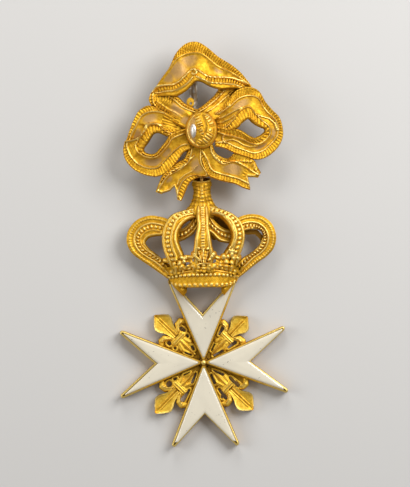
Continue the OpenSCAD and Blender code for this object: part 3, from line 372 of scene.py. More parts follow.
# Thickness of the bow's ribbons, and the blocks behind them that the pin's bracket and catch are
# soldered to, as low and high corners in x and y, with their height
BOW_THICK = 0.75
BOW_BLOCKS = [((-2.15, 38.5), (1.05, 40.9)), ((-1.65, 27.8), (0.55, 29.4))]
BLOCK_HIGH = 1.3
# Angle in degrees past which an edge is drawn sharp
METAL_SHARP = 38
# A direction that no bar or face lies along
ASKEW = [0.31, 0.17, 0.93]


def row_at(rows, t):
    """Rows on a smooth curve through the table, at each share t."""
    last = len(rows) - 1
    i = np.minimum(np.floor(t).astype(int), last - 1)
    f = (t - i)[:, None]
    a, b, c, d = rows[np.maximum(i - 1, 0)], rows[i], rows[i + 1], rows[np.minimum(i + 2, last)]
    return b + 0.5 * f * (c - a + f * (2 * a - 5 * b + 4 * c - d + f * (3 * (b - c) + d - a)))


def unit(v):
    """Vectors of length 1 with the same directions."""
    return v / np.linalg.norm(v, axis=-1, keepdims=True)


def ease(x):
    """A soft step: 0 up to 0 and 1 from 1 onwards."""
    x = np.clip(x, 0, 1)
    return x * x * (3 - 2 * x)


def hump(x):
    """A round back: 1 in the middle and 0 from 1 outwards."""
    return np.sqrt(np.clip(1 - x * x, 0, None))


def run_of(points):
    """Distance along a row of points."""
    steps = np.linalg.norm(np.diff(points, axis=0), axis=1)
    return np.concatenate([[0], np.cumsum(steps)])


def milled(run, pitch):
    """Rounded ribs across an edge: 0 on their backs and -1 in the cuts between them."""
    uneven = run + 0.05 * np.sin(1.3 * run) + 0.03 * np.sin(3.1 * run)
    return np.abs(np.sin(np.pi * uneven / pitch)) ** 0.6 - 1


def spaced(run, pitch):
    """Distance along an edge from the middle of the nearest repeat."""
    return (np.mod(run / pitch, 1) - 0.5) * pitch


def raised(feature, e, run, border):
    """Height of one feature at e from its edge and run along it."""
    place = feature.share * border + feature.offset
    away = e - place
    strength = ease(border / FULL_BORDER)
    if feature.kind == "ribs":
        band = ease(e / RIB_END) * ease((place - 0.02 - e) / RIB_END)
        swell = 0.03 * np.sin(np.pi * np.clip(e / np.maximum(place, 0.05), 0, 1))
        return strength * band * (feature.height * milled(run + 0.3 * e, feature.pitch) + swell)
    if feature.kind == "beads":
        far = np.hypot(spaced(run, feature.pitch), away) / feature.size
        return strength * feature.height * hump(far)
    if feature.kind == "rungs":
        along = spaced(run, feature.pitch) / RUNG_HALF
        return feature.height * hump(along) * ease((feature.size - np.abs(away)) / STROKE_END)
    if feature.kind == "stipple":
        dots = np.sin(2 * np.pi * run / feature.pitch) * np.sin(2 * np.pi * e / feature.pitch)
        return feature.height * dots * ease((feature.size - np.abs(away)) / DOTS_END)
    return strength * feature.height * hump(away / feature.size)


def along_line(x, y, points):
    """Distance from a line, the run along it at the nearest place, its length, and where its left is."""
    points = np.array(points, float)
    nearest = np.full(x.shape, np.inf)
    run, left = np.zeros(x.shape), np.zeros(x.shape, bool)
    done = 0.0
    for (x0, y0), (x1, y1) in zip(points, points[1:]):
        dx, dy = x1 - x0, y1 - y0
        length = math.hypot(dx, dy)
        share = np.clip(((x - x0) * dx + (y - y0) * dy) / length**2, 0, 1)
        away = np.hypot(x - x0 - share * dx, y - y0 - share * dy)
        run = np.where(away < nearest, done + share * length, run)
        left = np.where(away < nearest, dx * (y - y0) > dy * (x - x0), left)
        nearest = np.minimum(nearest, away)
        done += length
    return nearest, run, done, left


def drawn(line, x, y):
    """Height of one drawn line at x and y."""
    away, run, length, left = along_line(x, y, line.points)
    ends = ease(run / LINE_END) * ease((length - run) / LINE_END)
    if line.kind == "cord":
        return line.height * hump(away / line.size)
    if line.kind == "swell":
        return line.height * ease(1 - away / line.size)
    if line.kind == "lap":
        return ends * left * line.height * ease(1 - away / line.size)
    back = milled(run, line.pitch) + (line.kind == "bars")
    return ends * ease((line.size - away) / STROKE_END) * line.height * back


def rubbed(x, y):
    """1 in the middle of a rubbed place, falling to 0 outside it."""
    return np.maximum.reduce([ease(RUBBED_END - np.hypot(x - a, y - b) / r) for a, b, r in RUBBED])


class Casting:
    """Closed shells that make up one cast piece, with a value of painted light and shade and a satin value
    at each point.
    """

    def __init__(self):
        self.shells = []

    def add(self, points, faces, tone, satin=0.0):
        """Takes in one closed shell."""
        tone = np.broadcast_to(tone, len(points))
        satin = np.broadcast_to(satin, len(points))
        self.shells.append((np.asarray(points, float), faces, tone, satin))


def ring_faces(sections, ring):
    """Faces of a closed shell made of rings, with a cap at each end."""
    j, k = np.meshgrid(np.arange(sections - 1), np.arange(ring), indexing="ij")
    n = (k + 1) % ring
    quads = np.stack([j * ring + k, (j + 1) * ring + k, (j + 1) * ring + n, j * ring + n], -1)
    start = list(range(ring))
    end = [(sections - 1) * ring + i for i in range(ring - 1, -1, -1)]
    return [start] + quads.reshape(-1, 4).tolist() + [end]


def along_ribbon(rows):
    """Rows at even steps along a ribbon's longer edge, and the way out of its face at each."""
    near = 0.05
    fine = np.linspace(0, len(rows) - 1, TRIED * len(rows))
    sides = row_at(rows, fine)
    longest = np.maximum(run_of(sides[:, 0:3]), run_of(sides[:, 3:6]))
    count = int(longest[-1] / RIBBON_STEP)
    t = np.interp(np.linspace(0, longest[-1], count), longest, fine)
    row = row_at(rows, t)
    before = row_at(rows, np.maximum(t - near, 0))
    after = row_at(rows, np.minimum(t + near, len(rows) - 1))
    ahead = (after[:, 0:3] + after[:, 3:6]) - (before[:, 0:3] + before[:, 3:6])
    return row, unit(np.cross(row[:, 3:6] - row[:, 0:3], ahead))


def across_ribbon(width, border_left, border_right):
    """Distances of a ribbon's points from its left edge, close together over the borders."""
    room = BORDER_SHARE * width
    grow = np.linspace(0, 1, BORDER_POINTS)
    from_left = grow * np.minimum(border_left + PAST_BORDER, room)
    from_right = grow * np.minimum(border_right + PAST_BORDER, room)
    between = width - from_right[:, -1:] - from_left[:, -1:]
    inner = np.linspace(0, 1, max(7, int(np.max(between) / FIELD_STEP)) + 2)[1:-1]
    field = from_left[:, -1:] + inner * between
    return np.concatenate([from_left, field, (width - from_right)[:, ::-1]], axis=1)


def drawn_on(lines, x, y):
    """Height of all the drawn lines at x and y, and of the cords and ribs among them."""
    folds, marks = np.zeros(x.shape), np.zeros(x.shape)
    for line in lines:
        rise = drawn(line, x, y)
        folds += rise
        marks += rise * (line.kind in ("cord", "ribs"))
    return folds, marks


def ribbon(casting, rows, features, thick, lift=0.0, lines=(), dish=0.0):
    """A swept ribbon through the rows, with the features and the drawn lines on its face."""
    row, up = along_ribbon(np.array(rows, float))
    left, right = row[:, 0:3], row[:, 3:6]
    width = np.linalg.norm(right - left, axis=1)[:, None]
    bands = np.maximum(row[:, 6:8], 0)
    borders = np.maximum(np.minimum(bands, BORDER_SHARE * width - BORDER_LESS), 0)
    u = across_ribbon(width, borders[:, 0:1], borders[:, 1:2])

    run_left, run_right = run_of(left)[:, None], run_of(right)[:, None]
    views = {
        "left": (u, run_left, bands[:, 0:1]),
        "right": (width - u, run_right, bands[:, 1:2]),
        "middle": (u - width / 2, (run_left + run_right) / 2, np.ones_like(width))}
    detail = sum(raised(feature, *views[feature.side]) for feature in features)
    roll = -ROLL_DEPTH * (2 - ease(u / ROLL_WIDTH) - ease((width - u) / ROLL_WIDTH))
    spots = left[:, None, :] + unit(right - left)[:, None, :] * u[:, :, None]
    x, y = spots[:, :, 0], spots[:, :, 1]
    folds, marks = drawn_on(lines, x, y)
    hollow = -dish * np.sin(np.pi * np.clip(u / width, 0, 1)) ** 2

    top = spots + up[:, None, :] * (roll + detail + folds + hollow)[:, :, None]
    below = np.stack([right, (left + right) / 2, left], axis=1) - thick * up[:, None, :]
    points = np.concatenate([top, below], axis=1)
    points[:, :, 2] += lift
    # Painted light and shade: borders, cords and ribs that stand up are painted brighter, cuts and rolled
    # edges darker, and the underside is painted in shade
    underside_shade = np.full(below.shape[:2], UNDERSIDE_SHADE)
    tone = np.concatenate([np.clip(0.5 + 1.8 * (detail + marks + 0.5 * roll), 0, 1), underside_shade], axis=1)
    from_left = u - borders[:, 0:1] - SATIN_FROM
    from_right = width - u - borders[:, 1:2] - SATIN_FROM
    inside = ease(from_left / SATIN_END) * ease(from_right / SATIN_END)
    satin = np.concatenate([inside * rubbed(x, y), 0 * underside_shade], axis=1)
    casting.add(points.reshape(-1, 3), ring_faces(*points.shape[:2]), tone.ravel(), satin.ravel())


def ball(casting, middle, radius, tone, stretch):
    """A round bead or lump."""
    rings, sides = 8, 14
    polar = np.linspace(0.12, np.pi - 0.12, rings)
    angles = np.linspace(0, 2 * np.pi, sides, endpoint=False)
    x = np.outer(np.sin(polar), np.cos(angles))
    y = np.outer(np.sin(polar), np.sin(angles))
    z = np.outer(np.cos(polar), np.ones(sides))
    points = np.stack([x, y, z], -1).reshape(-1, 3) * radius * np.array(stretch) + np.array(middle)
    casting.add(points, ring_faces(rings, sides), tone)


def bar(casting, start, end, radii, tone):
    """A bar with round ends between two points, as thick as radii at its two ends."""
    sides = 14
    start, end = np.array(start, float), np.array(end, float)
    ahead = unit(end - start)
    beside = unit(np.cross(ahead, ASKEW))
    above = np.cross(ahead, beside)
    length = np.linalg.norm(end - start)
    bend = np.linspace(-np.pi / 2 + 0.15, 0, 4)
    places = [radii[0] * math.sin(b) for b in bend] + [length + radii[1] * math.sin(-b) for b in bend[::-1]]
    girths = [radii[0] * math.cos(b) for b in bend] + [radii[1] * math.cos(b) for b in bend[::-1]]
    angles = np.linspace(0, 2 * np.pi, sides, endpoint=False)
    ring = np.cos(angles)[:, None] * beside + np.sin(angles)[:, None] * above
    points = [start + ahead * place + girth * ring for place, girth in zip(places, girths)]
    casting.add(np.concatenate(points), ring_faces(len(places), sides), tone)


def brick(casting, low, high):
    """A plain block."""
    (x0, y0, z0), (x1, y1, z1) = low, high
    rings = [[x, y, z] for z in (z0, z1) for x, y in ((x0, y0), (x1, y0), (x1, y1), (x0, y1))]
    # A low value paints the block in shade
    casting.add(rings, [face[::-1] for face in ring_faces(2, 4)][::-1], 0.3)


def cut_grid(low, high, step, inside):
    """Points and faces of a flat grid that is cut along the zero line of inside()."""
    xs = np.arange(low[0], high[0] + step, step)
    ys = np.arange(low[1], high[1] + step, step)
    x, y = np.meshgrid(xs, ys, indexing="ij")
    level = inside(x, y)
    least = 0.1 * step
    level = np.where(np.abs(level) < least, np.where(level > 0, 0.1, -0.1) * step, level)
    index, spots, faces = {}, [], []

    def point_at(key, x_at, y_at):
        if key not in index:
            index[key] = len(spots)
            spots.append((x_at, y_at))
        return index[key]

    def crossing(a, b):
        a, b = min(a, b), max(a, b)
        share = level[a] / (level[a] - level[b])
        return point_at((a, b), x[a] + share * (x[b] - x[a]), y[a] + share * (y[b] - y[a]))

    held = level > 0
    some = held[:-1, :-1] | held[1:, :-1] | held[:-1, 1:] | held[1:, 1:]
    for i, j in zip(*np.nonzero(some)):
        corners = [(i, j), (i + 1, j), (i + 1, j + 1), (i, j + 1)]
        outline = []
        for a, b in zip(corners, corners[1:] + corners[:1]):
            if held[a]:
                outline.append(point_at(a, x[a], y[a]))
            if held[a] != held[b]:
                outline.append(crossing(a, b))
        faces.append(outline)
    return np.array(spots), faces


def closed_sheet(upper, lower, faces):
    """A closed shell from the faces of an upper surface, their copies below and walls at the open edges."""
    count = len(upper)
    edges = [edge for face in faces for edge in zip(face, face[1:] + face[:1])]
    paired = set(edges)
    walls = [[b, a, a + count, b + count] for a, b in edges if (b, a) not in paired]
    under = [[k + count for k in face[::-1]] for face in faces]
    return np.concatenate([upper, lower]), faces + under + walls


def even(tone):
    """The same painted light and shade everywhere."""
    return lambda x, y: np.full(len(x), float(tone))


def slab(casting, low, high, step, inside, face, floor, place, tone):
    """A closed plate cut along the zero line of inside(), with its upper surface at face()."""
    spots, tops = cut_grid(low, high, step, inside)
    x, y = spots[:, 0], spots[:, 1]
    upper = place(x, y, face(x, y))
    lower = place(x, y, np.full(len(spots), float(floor)))
    points, faces = closed_sheet(upper, lower, tops)
    # The underside is painted in shade
    casting.add(points, faces, np.concatenate([tone(x, y), np.full(len(spots), 0.2)]))


def upright(x, y, z):
    """Points of a plate that lies flat on the table."""
    return np.stack([x, y, z], axis=-1)


def reach(x, y, lump):
    """How far a point is inside a tapered round bar, as a share of its radius: 1 on its middle line."""
    x0, y0, x1, y1, r0, r1 = lump[:6]
    dx, dy = x1 - x0, y1 - y0
    along = np.clip(((x - x0) * dx + (y - y0) * dy) / max(dx * dx + dy * dy, 1e-9), 0, 1)
    radius = r0 + along * (r1 - r0)
    away = np.hypot(x - x0 - along * dx, y - y0 - along * dy)
    return radius - away, away / radius


def outward(piece):
    """Turns every face of a closed shell outwards."""
    work = bmesh.new()
    work.from_mesh(piece.data)
    bmesh.ops.recalc_face_normals(work, faces=work.faces)
    work.to_mesh(piece.data)
    work.free()


def object_of(name, shell):
    """A Blender object in metres from one shell."""
    points, faces, tone, satin = shell
    mesh = bpy.data.meshes.new(name)
    mesh.from_pydata((points * MM + np.array(CROSS_MIDDLE)).tolist(), [], faces)
    for label, values in (("tone", tone), ("satin", satin)):
        mesh.attributes.new(label, "FLOAT", "POINT").data.foreach_set("value", np.array(values, np.float32))
    piece = bpy.data.objects.new(name, mesh)
    bpy.context.scene.collection.objects.link(piece)
    outward(piece)
    return piece


def combine(piece, others, operation):
    """Joins the others to the piece or cuts them out of it, and deletes them."""
    for other in others:
        step = piece.modifiers.new("join", "BOOLEAN")
        step.solver = "MANIFOLD"
        step.operation = operation
        step.object = other
    graph = bpy.context.evaluated_depsgraph_get()
    result = bpy.data.meshes.new_from_object(piece.evaluated_get(graph))
    piece.modifiers.clear()
    old = piece.data
    piece.data = result
    bpy.data.meshes.remove(old)
    for other in others:
        bpy.data.meshes.remove(other.data)


def fused(name, casting):
    """All the shells of a casting as one closed mesh."""
    parts = [object_of(f"{name}_{i}", shell) for i, shell in enumerate(casting.shells)]
    combine(parts[0], parts[1:], "UNION")
    parts[0].name = name
    parts[0].data.name = name
    return parts[0]


def sheltered(tree, starts, aims, far):
    """How much of the way out of each start is shut off: 1 against a wall and 0 in the clear."""
    shut = np.zeros(len(starts))
    for i, (start, aim) in enumerate(zip(starts.tolist(), aims.tolist())):
        distance = tree.ray_cast(start, aim, far)[3]
        if distance is not None:
            shut[i] = 1 - distance / far
    return shut


def note_shelter(piece, reach_mm=1.3):
    """Stores how open each point is to what is near it: 0 deep in a fold and 1 in the clear; the gilt
    material paints shade where it is low.
    """
    rays, golden_angle, least_rise, gap = 14, 2.39996, 0.15, 0.02
    mesh = piece.data
    count = len(mesh.vertices)
    places, normals = np.empty(count * 3), np.empty(count * 3)
    mesh.vertices.foreach_get("co", places)
    mesh.vertices.foreach_get("normal", normals)
    places, normals = places.reshape(-1, 3), normals.reshape(-1, 3)
    tree = BVHTree.FromPolygons(places.tolist(), [list(polygon.vertices) for polygon in mesh.polygons])
    side = unit(np.cross(normals, ASKEW) + 1e-9)
    other = np.cross(normals, side)
    turn = np.arange(rays) * golden_angle
    rise = least_rise + (1 - least_rise) * (np.arange(rays) + 0.5) / rays
    flat = np.sqrt(1 - rise**2)
    starts = places + normals * gap * MM
    shelter = np.zeros(count)
    for k in range(rays):
        sideways = side * (flat[k] * math.cos(turn[k])) + other * (flat[k] * math.sin(turn[k]))
        shelter += sheltered(tree, starts, sideways + normals * rise[k], reach_mm * MM)
    openness = np.clip(1 - shelter / (0.6 * rays), 0, 1)
    mesh.attributes.new("open", "FLOAT", "POINT").data.foreach_set("value", openness.astype(np.float32))


def finish(piece, material, node, sharp_angle):
    """Gives a piece its shading, material and place in the model."""
    piece.data.materials.clear()
    piece.data.materials.append(material)
    piece.data.shade_smooth()
    piece.data.set_sharp_from_angle(angle=math.radians(sharp_angle))
    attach(piece, "badge")
    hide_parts(node)


def knot_bumps(x, y):
    """Heights of the knot's pearl, and of the small dimpled knob on its right, at x and y."""
    pearl_x, pearl_wide, pearl_long, pearl_high = -0.68, 0.42, 0.95, 0.34
    knob_x, knob_y, knob_wide, knob_long, knob_high = 1.6, 31.3, 0.48, 0.45, 0.18
    up = y - KNOT_AT[1]
    pearl = pearl_high * hump(np.hypot((x - pearl_x) / pearl_wide, up / (pearl_long - 0.1 * up)))
    from_knob = np.hypot((x - knob_x) / knob_wide, (y - knob_y) / knob_long)
    dimple = 0.07 * hump((from_knob - 0.55) / 0.2)
    return pearl, knob_high * hump(from_knob) - dimple


def knot(casting):
    """The knot: a low oval dome with a bright pearl on its left and short strokes over its right half."""
    half_wide, half_long, base, wall, dome = 2.15, 2.5, 1.2, 1.15, 1.25
    shares = np.concatenate([[1.0, 1.0], np.linspace(0.995, 0.02, 42)])
    angles = np.linspace(0, 2 * np.pi, 190, endpoint=False)
    r, a = np.meshgrid(shares, angles, indexing="ij")
    x, y = KNOT_AT[0] + half_wide * r * np.cos(a), KNOT_AT[1] + half_long * r * np.sin(a)
    pearl, knob = knot_bumps(x, y)
    bumps = np.maximum(pearl, knob)
    marks = sum(drawn(line, x, y) for line in KNOT_LINES)
    rim = 0.12 * hump((r - 0.92) / 0.08)
    detail = np.where(bumps > 0, bumps, marks) + rim
    z = wall + dome * np.clip(1 - r**2, 0, None) ** 0.55 + detail
    # The first ring is the foot of the wall
    z[0] = 0
    points = np.stack([x, y, BOW_BACK + base + z], -1)
    # Painted light and shade: strokes, rim and pearl that stand up are painted brighter, the cuts darker
    tone = np.clip(0.45 + 1.8 * detail, 0, 1)
    satin = np.where(pearl > 0.06, PEARL_SATIN, 0.8 * ease((-0.2 - x) / 0.3) * ease((0.9 - r) / 0.1))
    casting.add(points.reshape(-1, 3), ring_faces(*r.shape), tone.ravel(), satin.ravel())


def staple(casting):
    """Staple at the back of the bow, that the link goes round."""
    middle, level = NECK_AT
    half, bar_y, wire_r, foot_r = 0.75, 26.6, 0.25, 0.4
    # The wires are painted partly in shade
    for x in (middle - half, middle + half):
        bar(casting, (x, bar_y, level), (x, bar_y, BOW_BACK + 0.6), (wire_r, foot_r), 0.4)
    bar(casting, (middle - half, bar_y, level), (middle + half, bar_y, level), (wire_r, wire_r), 0.4)


def lug(casting):
    """Small pierced lug beside the opening at the top of the bow."""
    middle, hole, hole_r, height = (-1.0, 35.15), (-0.93, 35.02), 0.19, BOW_BACK + 1.5

    def inside(x, y):
        body = 0.6 - np.hypot((x - middle[0]) / 0.85, (y - middle[1]) / 1.1)
        return np.minimum(body, np.hypot(x - hole[0], y - hole[1]) - hole_r)

    def face(x, y):
        return height + 0.1 * hump(np.hypot(x - middle[0], y - middle[1]) / 0.75)

    slab(casting, (-1.7, 34.4), (-0.3, 36.1), 0.06, inside, face, BOW_BACK + 0.8, upright, even(0.6))


def prism(name, outline, low, high):
    """An upright block with the outline, as an object to cut with."""
    cutter = Casting()
    outline = np.array(outline, float)
    rings = np.concatenate([np.column_stack([outline, np.full(len(outline), z)]) for z in (low, high)])
    cutter.add(rings, ring_faces(2, len(outline)), 0.35)
    return object_of(name, cutter.shells[0])


def notched(rows, cuts, lines):
    """A tail of the bow with its swallow-tail notch and other cuts, as an object."""
    tail = Casting()
    ribbon(tail, rows, BOW_RELIEF, BOW_THICK, BOW_BACK, lines)
    piece = object_of("tail", tail.shells[0])
    combine(piece, [prism(f"cut_{i}", cut, 2, 8) for i, cut in enumerate(cuts)], "DIFFERENCE")
    return piece


def make_bow(material):
    """The bow: its ribbons, knot, staple, lug and blocks, as one casting."""
    casting = Casting()
    for rows, relief, lines, dish in (
            (RIGHT_LOOP, BOW_RELIEF, RIGHT_LOOP_LINES, 0.25),
            (LEFT_LOOP, BOW_RELIEF, LEFT_LOOP_LINES, 0.25),
            (TOP_SHEET, SHEET_RELIEF, SHEET_LINES, 0.4),
            (TOP_LEFT_LEG, BOW_RELIEF, LEFT_LEG_LINES, 0),
            (TOP_RIGHT_LEG, BOW_RELIEF, RIGHT_LEG_LINES, 0)):
        ribbon(casting, rows, relief, BOW_THICK, BOW_BACK, lines, dish)
    knot(casting)
    staple(casting)
    lug(casting)
    for low, high in BOW_BLOCKS:
        brick(casting, (*low, BOW_BACK), (*high, BOW_BACK + BLOCK_HIGH))
    piece = fused("bow_metal", casting)
    tails = [notched(LEFT_TAIL, [LEFT_NOTCH], LEFT_TAIL_LINES),
             notched(RIGHT_TAIL, [RIGHT_NOTCH, RIGHT_TRIM], RIGHT_TAIL_LINES)]
    combine(piece, tails, "UNION")
    note_shelter(piece)
    finish(piece, material, "bow", METAL_SHARP)


def loop_relief(outer, inner, bead_pitch):
    """Relief of a side loop of the crown, measured from its outer edge."""
    return [
        Feature("ribs", outer, 1, 0, 0, 0.07, 0.4),
        Feature("ridge", outer, 0.5, 0, 0.15, 0.1),
        Feature("ridge", outer, 1, 0.28, 0.17, 0.16),
        Feature("beads", outer, 1, 0.76, 0.27, 0.2, bead_pitch),
        Feature("ridge", outer, 1, 1.2, 0.14, 0.1),
        Feature("ridge", inner, 0.4, 0, 0.22, 0.12)]


def arch_relief(outer, inner):
    """Relief of an arch of the crown: a row of beads between plain rims."""
    return [
        Feature("ridge", outer, 0.25, 0, 0.24, 0.14),
        Feature("beads", outer, 0.85, 0, 0.32, 0.19, 0.68),
        Feature("ridge", outer, 1.4, 0, 0.2, 0.15),
        Feature("ridge", inner, 0.25, 0, 0.22, 0.16)]


MIDDLE_RELIEF = [
    *both_sides("ridge", 0.4, 0, 0.27, 0.15), Feature("rungs", "middle", 0, 0, 0.34, 0.17, 0.38)]
REAR_RELIEF = [
    *both_sides("ridge", 0.6, 0, 0.2, 0.14), Feature("beads", "middle", 0, 0, 0.29, 0.22, 0.56)]
CIRCLET_RELIEF = [
    Feature("ridge", "left", 0, 0.15, 0.16, 0.12), Feature("ridge", "right", 0, 0.1, 0.13, 0.1),
    Feature("beads", "left", 1, 0.05, 0.27, 0.22, 0.62), Feature("beads", "right", 1, 0, 0.26, 0.2, 0.72),
    Feature("stipple", "middle", 0, 0, 0.5, 0.05, 0.3)]
# Neck: radius and y of its outside from the foot up, then of its bore down to its floor
NECK = [
    [0.2, 18.9], [1.2, 18.9], [1.9, 19.3], [2.3, 19.8], [2.42, 20.15], [2.36, 20.5], [2.14, 20.8],
    [1.93, 21.05], [1.76, 21.25], [1.62, 21.45], [1.5, 21.65], [1.42, 21.85], [1.36, 22.05], [1.3, 22.25],
    [1.25, 22.45], [1.21, 22.65], [1.19, 22.85], [1.17, 23.05], [1.16, 23.2], [1.16, 23.4], [1.18, 23.6],
    [1.22, 23.8], [1.29, 23.95], [1.34, 24.1], [1.35, 24.25], [1.3, 24.4], [1.22, 24.52], [1.24, 24.62],
    [1.26, 24.72], [1.18, 24.8], [0.95, 24.78], [0.9, 24.65], [0.85, 23.6], [0.05, 23.5]]
# Leafwork along the top of the band, as round backs from x, y to x, y, with the radius at each end
# and the height
LEAVES = [
    (0.35, 13.5, 0.3, 14.9, 0.4, 0.75, 0.26), (0.3, 13.4, 0.3, 15.2, 0.17, 0.24, 0.44),
    (0.08, 13.6, -0.35, 15.0, 0.14, 0.2, 0.36), (0.55, 13.6, 0.9, 15.0, 0.14, 0.2, 0.36),
    (-0.3, 13.42, 1.05, 13.42, 0.19, 0.19, 0.34), (-0.36, 15.5, -0.32, 15.45, 0.38, 0.36, 0.42),
    (0.9, 15.45, 0.88, 15.4, 0.36, 0.34, 0.42), (0.3, 15.45, 0.3, 15.4, 0.27, 0.3, 0.34),
    (-0.96, 14.75, -0.8, 14.5, 0.44, 0.38, 0.34), (-0.7, 14.3, -0.2, 13.9, 0.34, 0.3, 0.28),
    (1.68, 14.65, 1.45, 14.4, 0.46, 0.38, 0.34), (1.4, 14.2, 0.95, 13.85, 0.34, 0.3, 0.28),
    (-2.65, 14.3, -2.6, 14.2, 0.36, 0.34, 0.34), (-2.05, 14.35, -2.1, 14.2, 0.32, 0.32, 0.3),
    (-2.35, 14.3, -2.3, 13.7, 0.2, 0.4, 0.36), (-2.9, 13.6, -3.0, 13.4, 0.36, 0.34, 0.28),
    (-1.7, 14.35, -1.2, 14.25, 0.28, 0.26, 0.22), (-1.45, 13.7, -1.4, 13.6, 0.28, 0.28, 0.22),
    (-3.55, 14.2, -3.45, 14.0, 0.3, 0.3, 0.2), (-4.45, 14.0, -4.3, 14.1, 0.44, 0.42, 0.26),
    (-4.95, 13.9, -4.95, 14.0, 0.3, 0.3, 0.24), (-3.75, 13.5, -3.7, 13.4, 0.34, 0.34, 0.24),
    (-5.1, 12.7, -5.0, 12.5, 0.3, 0.3, 0.2), (3.85, 15.15, 3.95, 14.9, 0.34, 0.34, 0.3),
    (4.5, 15.1, 4.4, 14.9, 0.36, 0.34, 0.34), (4.2, 15.3, 4.2, 14.5, 0.24, 0.42, 0.38),
    (4.0, 15.55, 3.95, 15.45, 0.3, 0.3, 0.3), (3.0, 14.3, 3.05, 14.2, 0.46, 0.42, 0.32),
    (2.35, 14.1, 2.1, 14.25, 0.32, 0.28, 0.24), (3.6, 14.35, 3.6, 14.2, 0.34, 0.34, 0.3),
    (5.0, 14.2, 5.0, 14.1, 0.44, 0.42, 0.32), (4.4, 14.1, 4.35, 14.0, 0.36, 0.34, 0.3),
    (3.3, 13.65, 3.4, 13.55, 0.38, 0.36, 0.26), (4.1, 13.5, 4.15, 13.4, 0.34, 0.32, 0.26),
    (2.5, 13.5, 2.55, 13.4, 0.3, 0.3, 0.22), (5.55, 12.6, 5.5, 12.4, 0.28, 0.28, 0.2)]
# Rows of small buds under the leaves, as the y of the row, the place of its first bud, the pitch,
# the radius and the height of a bud
BUD_ROWS = [(13.2, -3.5, 0.76, 0.36, 0.24), (12.82, -4.1, 0.62, 0.32, 0.22), (12.46, -4.1, 0.5, 0.24, 0.15)]
# Plates behind the leafwork, as low and high corners in x and y, and the holes through them
PLATES = [
    (-2.9, 12.2, -0.6, 14.2), (1.1, 12.2, 3.3, 14.2), (-4.9, 12.0, -2.9, 13.1), (3.3, 12.0, 5.0, 13.1)]
LEAF_HOLES = [
    (-2.1, 13.35, -1.8, 13.5, 0.2, 0.2), (-1.05, 13.9, -1.0, 13.95, 0.17, 0.17),
    (1.45, 13.6, 1.8, 13.75, 0.22, 0.22), (-4.95, 13.15, -4.35, 13.2, 0.16, 0.19),
    (4.8, 12.9, 4.85, 13.45, 0.15, 0.18)]
# Height of the crown's front by the distance from its middle
FRONT = [(0, 5.15), (1.2, 5.05), (2.0, 4.55), (3.6, 4.5), (4.6, 3.9), (5.3, 3.2), (6.6, 2.95)]
FRONT_MIDDLE = 0.35
# Corners that join the band to the top arm of the cross, anticlockwise in x and y
GUSSETS = [
    [(-3.3, 9.85), (-2.35, 8.85), (-2.1, 9.0), (-2.05, 9.6), (-1.5, 10.25), (-1.5, 11.3), (-4.6, 11.3)],
    [(2.55, 8.85), (2.8, 8.85), (3.7, 9.85), (5.0, 11.3), (2.1, 11.3), (2.1, 10.35), (2.6, 9.6)]]
# Beads on those corners, as the distance from the crown's middle and the y
GUSSET_BEADS = [(2.75, 9.95), (2.7, 9.45), (2.15, 10.05), (3.4, 10.35)]
# Height of those corners by the distance from the crown's middle
GUSSET_HEIGHTS = [(1.8, 3.55), (2.8, 3.45), (3.8, 3.0), (4.6, 2.3)]
CROWN_MIDDLE = 0.3
# Inside walls of the crown that show between its right-hand arches, as bars from x, y to x, y with
# the radius at each end, and their height by x
INNER_WALLS = [
    (2.0, 19.5, 3.7, 18.1, 0.6, 0.7), (1.75, 17.9, 1.8, 17.0, 0.5, 0.45), (6.1, 17.5, 7.5, 17.5, 0.3, 0.34),
    (7.5, 17.5, 8.15, 16.8, 0.34, 0.3), (8.15, 16.8, 8.3, 15.9, 0.3, 0.12)]
INNER_HEIGHTS = [(1, 2.1), (4, 2.45), (6, 2.1)]
# Thicknesses of the crown's bands and of the two arches at its back, and the feet that join the band
# to the cross, as low corners in x and y
BAND_THICK = 0.8
REAR_THICK = 0.7
FEET = [(-4.5, 10.7), (3.9, 10.7)]
FOOT_SIZE = 0.8
FOOT_LEVELS = (1.52, 2.32)


def by_distance(table, distance):
    """Value at a distance, from a table of distances and values."""
    return np.interp(distance, *np.array(table).T)


def bud_row(y, first, pitch, r, height):
    """Slightly uneven buds along a row that sinks away from its middle."""
    buds = []
    for x in np.arange(first, 2 * FRONT_MIDDLE - first, pitch):
        sink = 0.025 * x * x
        aside, up = 0.09 * math.sin(9 * x), 0.08 * math.sin(13 * x + y)
        swollen = r * (1 + 0.15 * math.sin(7 * x + 3 * y))
        buds.append((x + aside, y + up - sink, x, y - sink, swollen, r, height))
    return buds


def leafwork(casting):
    """Leaves and buds on a pierced plate along the top of the band."""
    step, floor = 0.065, -0.75
    lumps = LEAVES + [bud for row in BUD_ROWS for bud in bud_row(*row)]

    def inside(x, y):
        solid = [reach(x, y, lump)[0] for lump in lumps]
        for x0, y0, x1, y1 in PLATES:
            solid.append(np.minimum(np.minimum(x - x0, x1 - x), np.minimum(y - y0, y1 - y)))
        holes = [-reach(x, y, hole)[0] for hole in LEAF_HOLES]
        return np.minimum.reduce([np.maximum.reduce(solid)] + holes)

    def face(x, y):
        worn = 0.045 * np.sin(7 * x + 5 * y) * np.sin(9 * y - 4 * x)
        backs = [lump[6] * np.clip(1 - reach(x, y, lump)[1] ** 2, 0, 1) for lump in lumps]
        return worn + np.maximum.reduce(backs)

    def place(x, y, z):
        aside = np.abs(x - FRONT_MIDDLE)
        drop = (0.1 + 0.11 * aside) * ease((13.1 - y) / 0.8)
        return upright(x, y, z + by_distance(FRONT, aside) - drop)

    # Painted light and shade: leaves and buds are painted brighter on their backs and the plate between
    # them in shade
    def tone(x, y):
        return np.clip(0.42 + 1.5 * face(x, y), 0, 1)

    slab(casting, (-6.4, 11.7), (6.8, 16.2), step, inside, face, floor, place, tone)


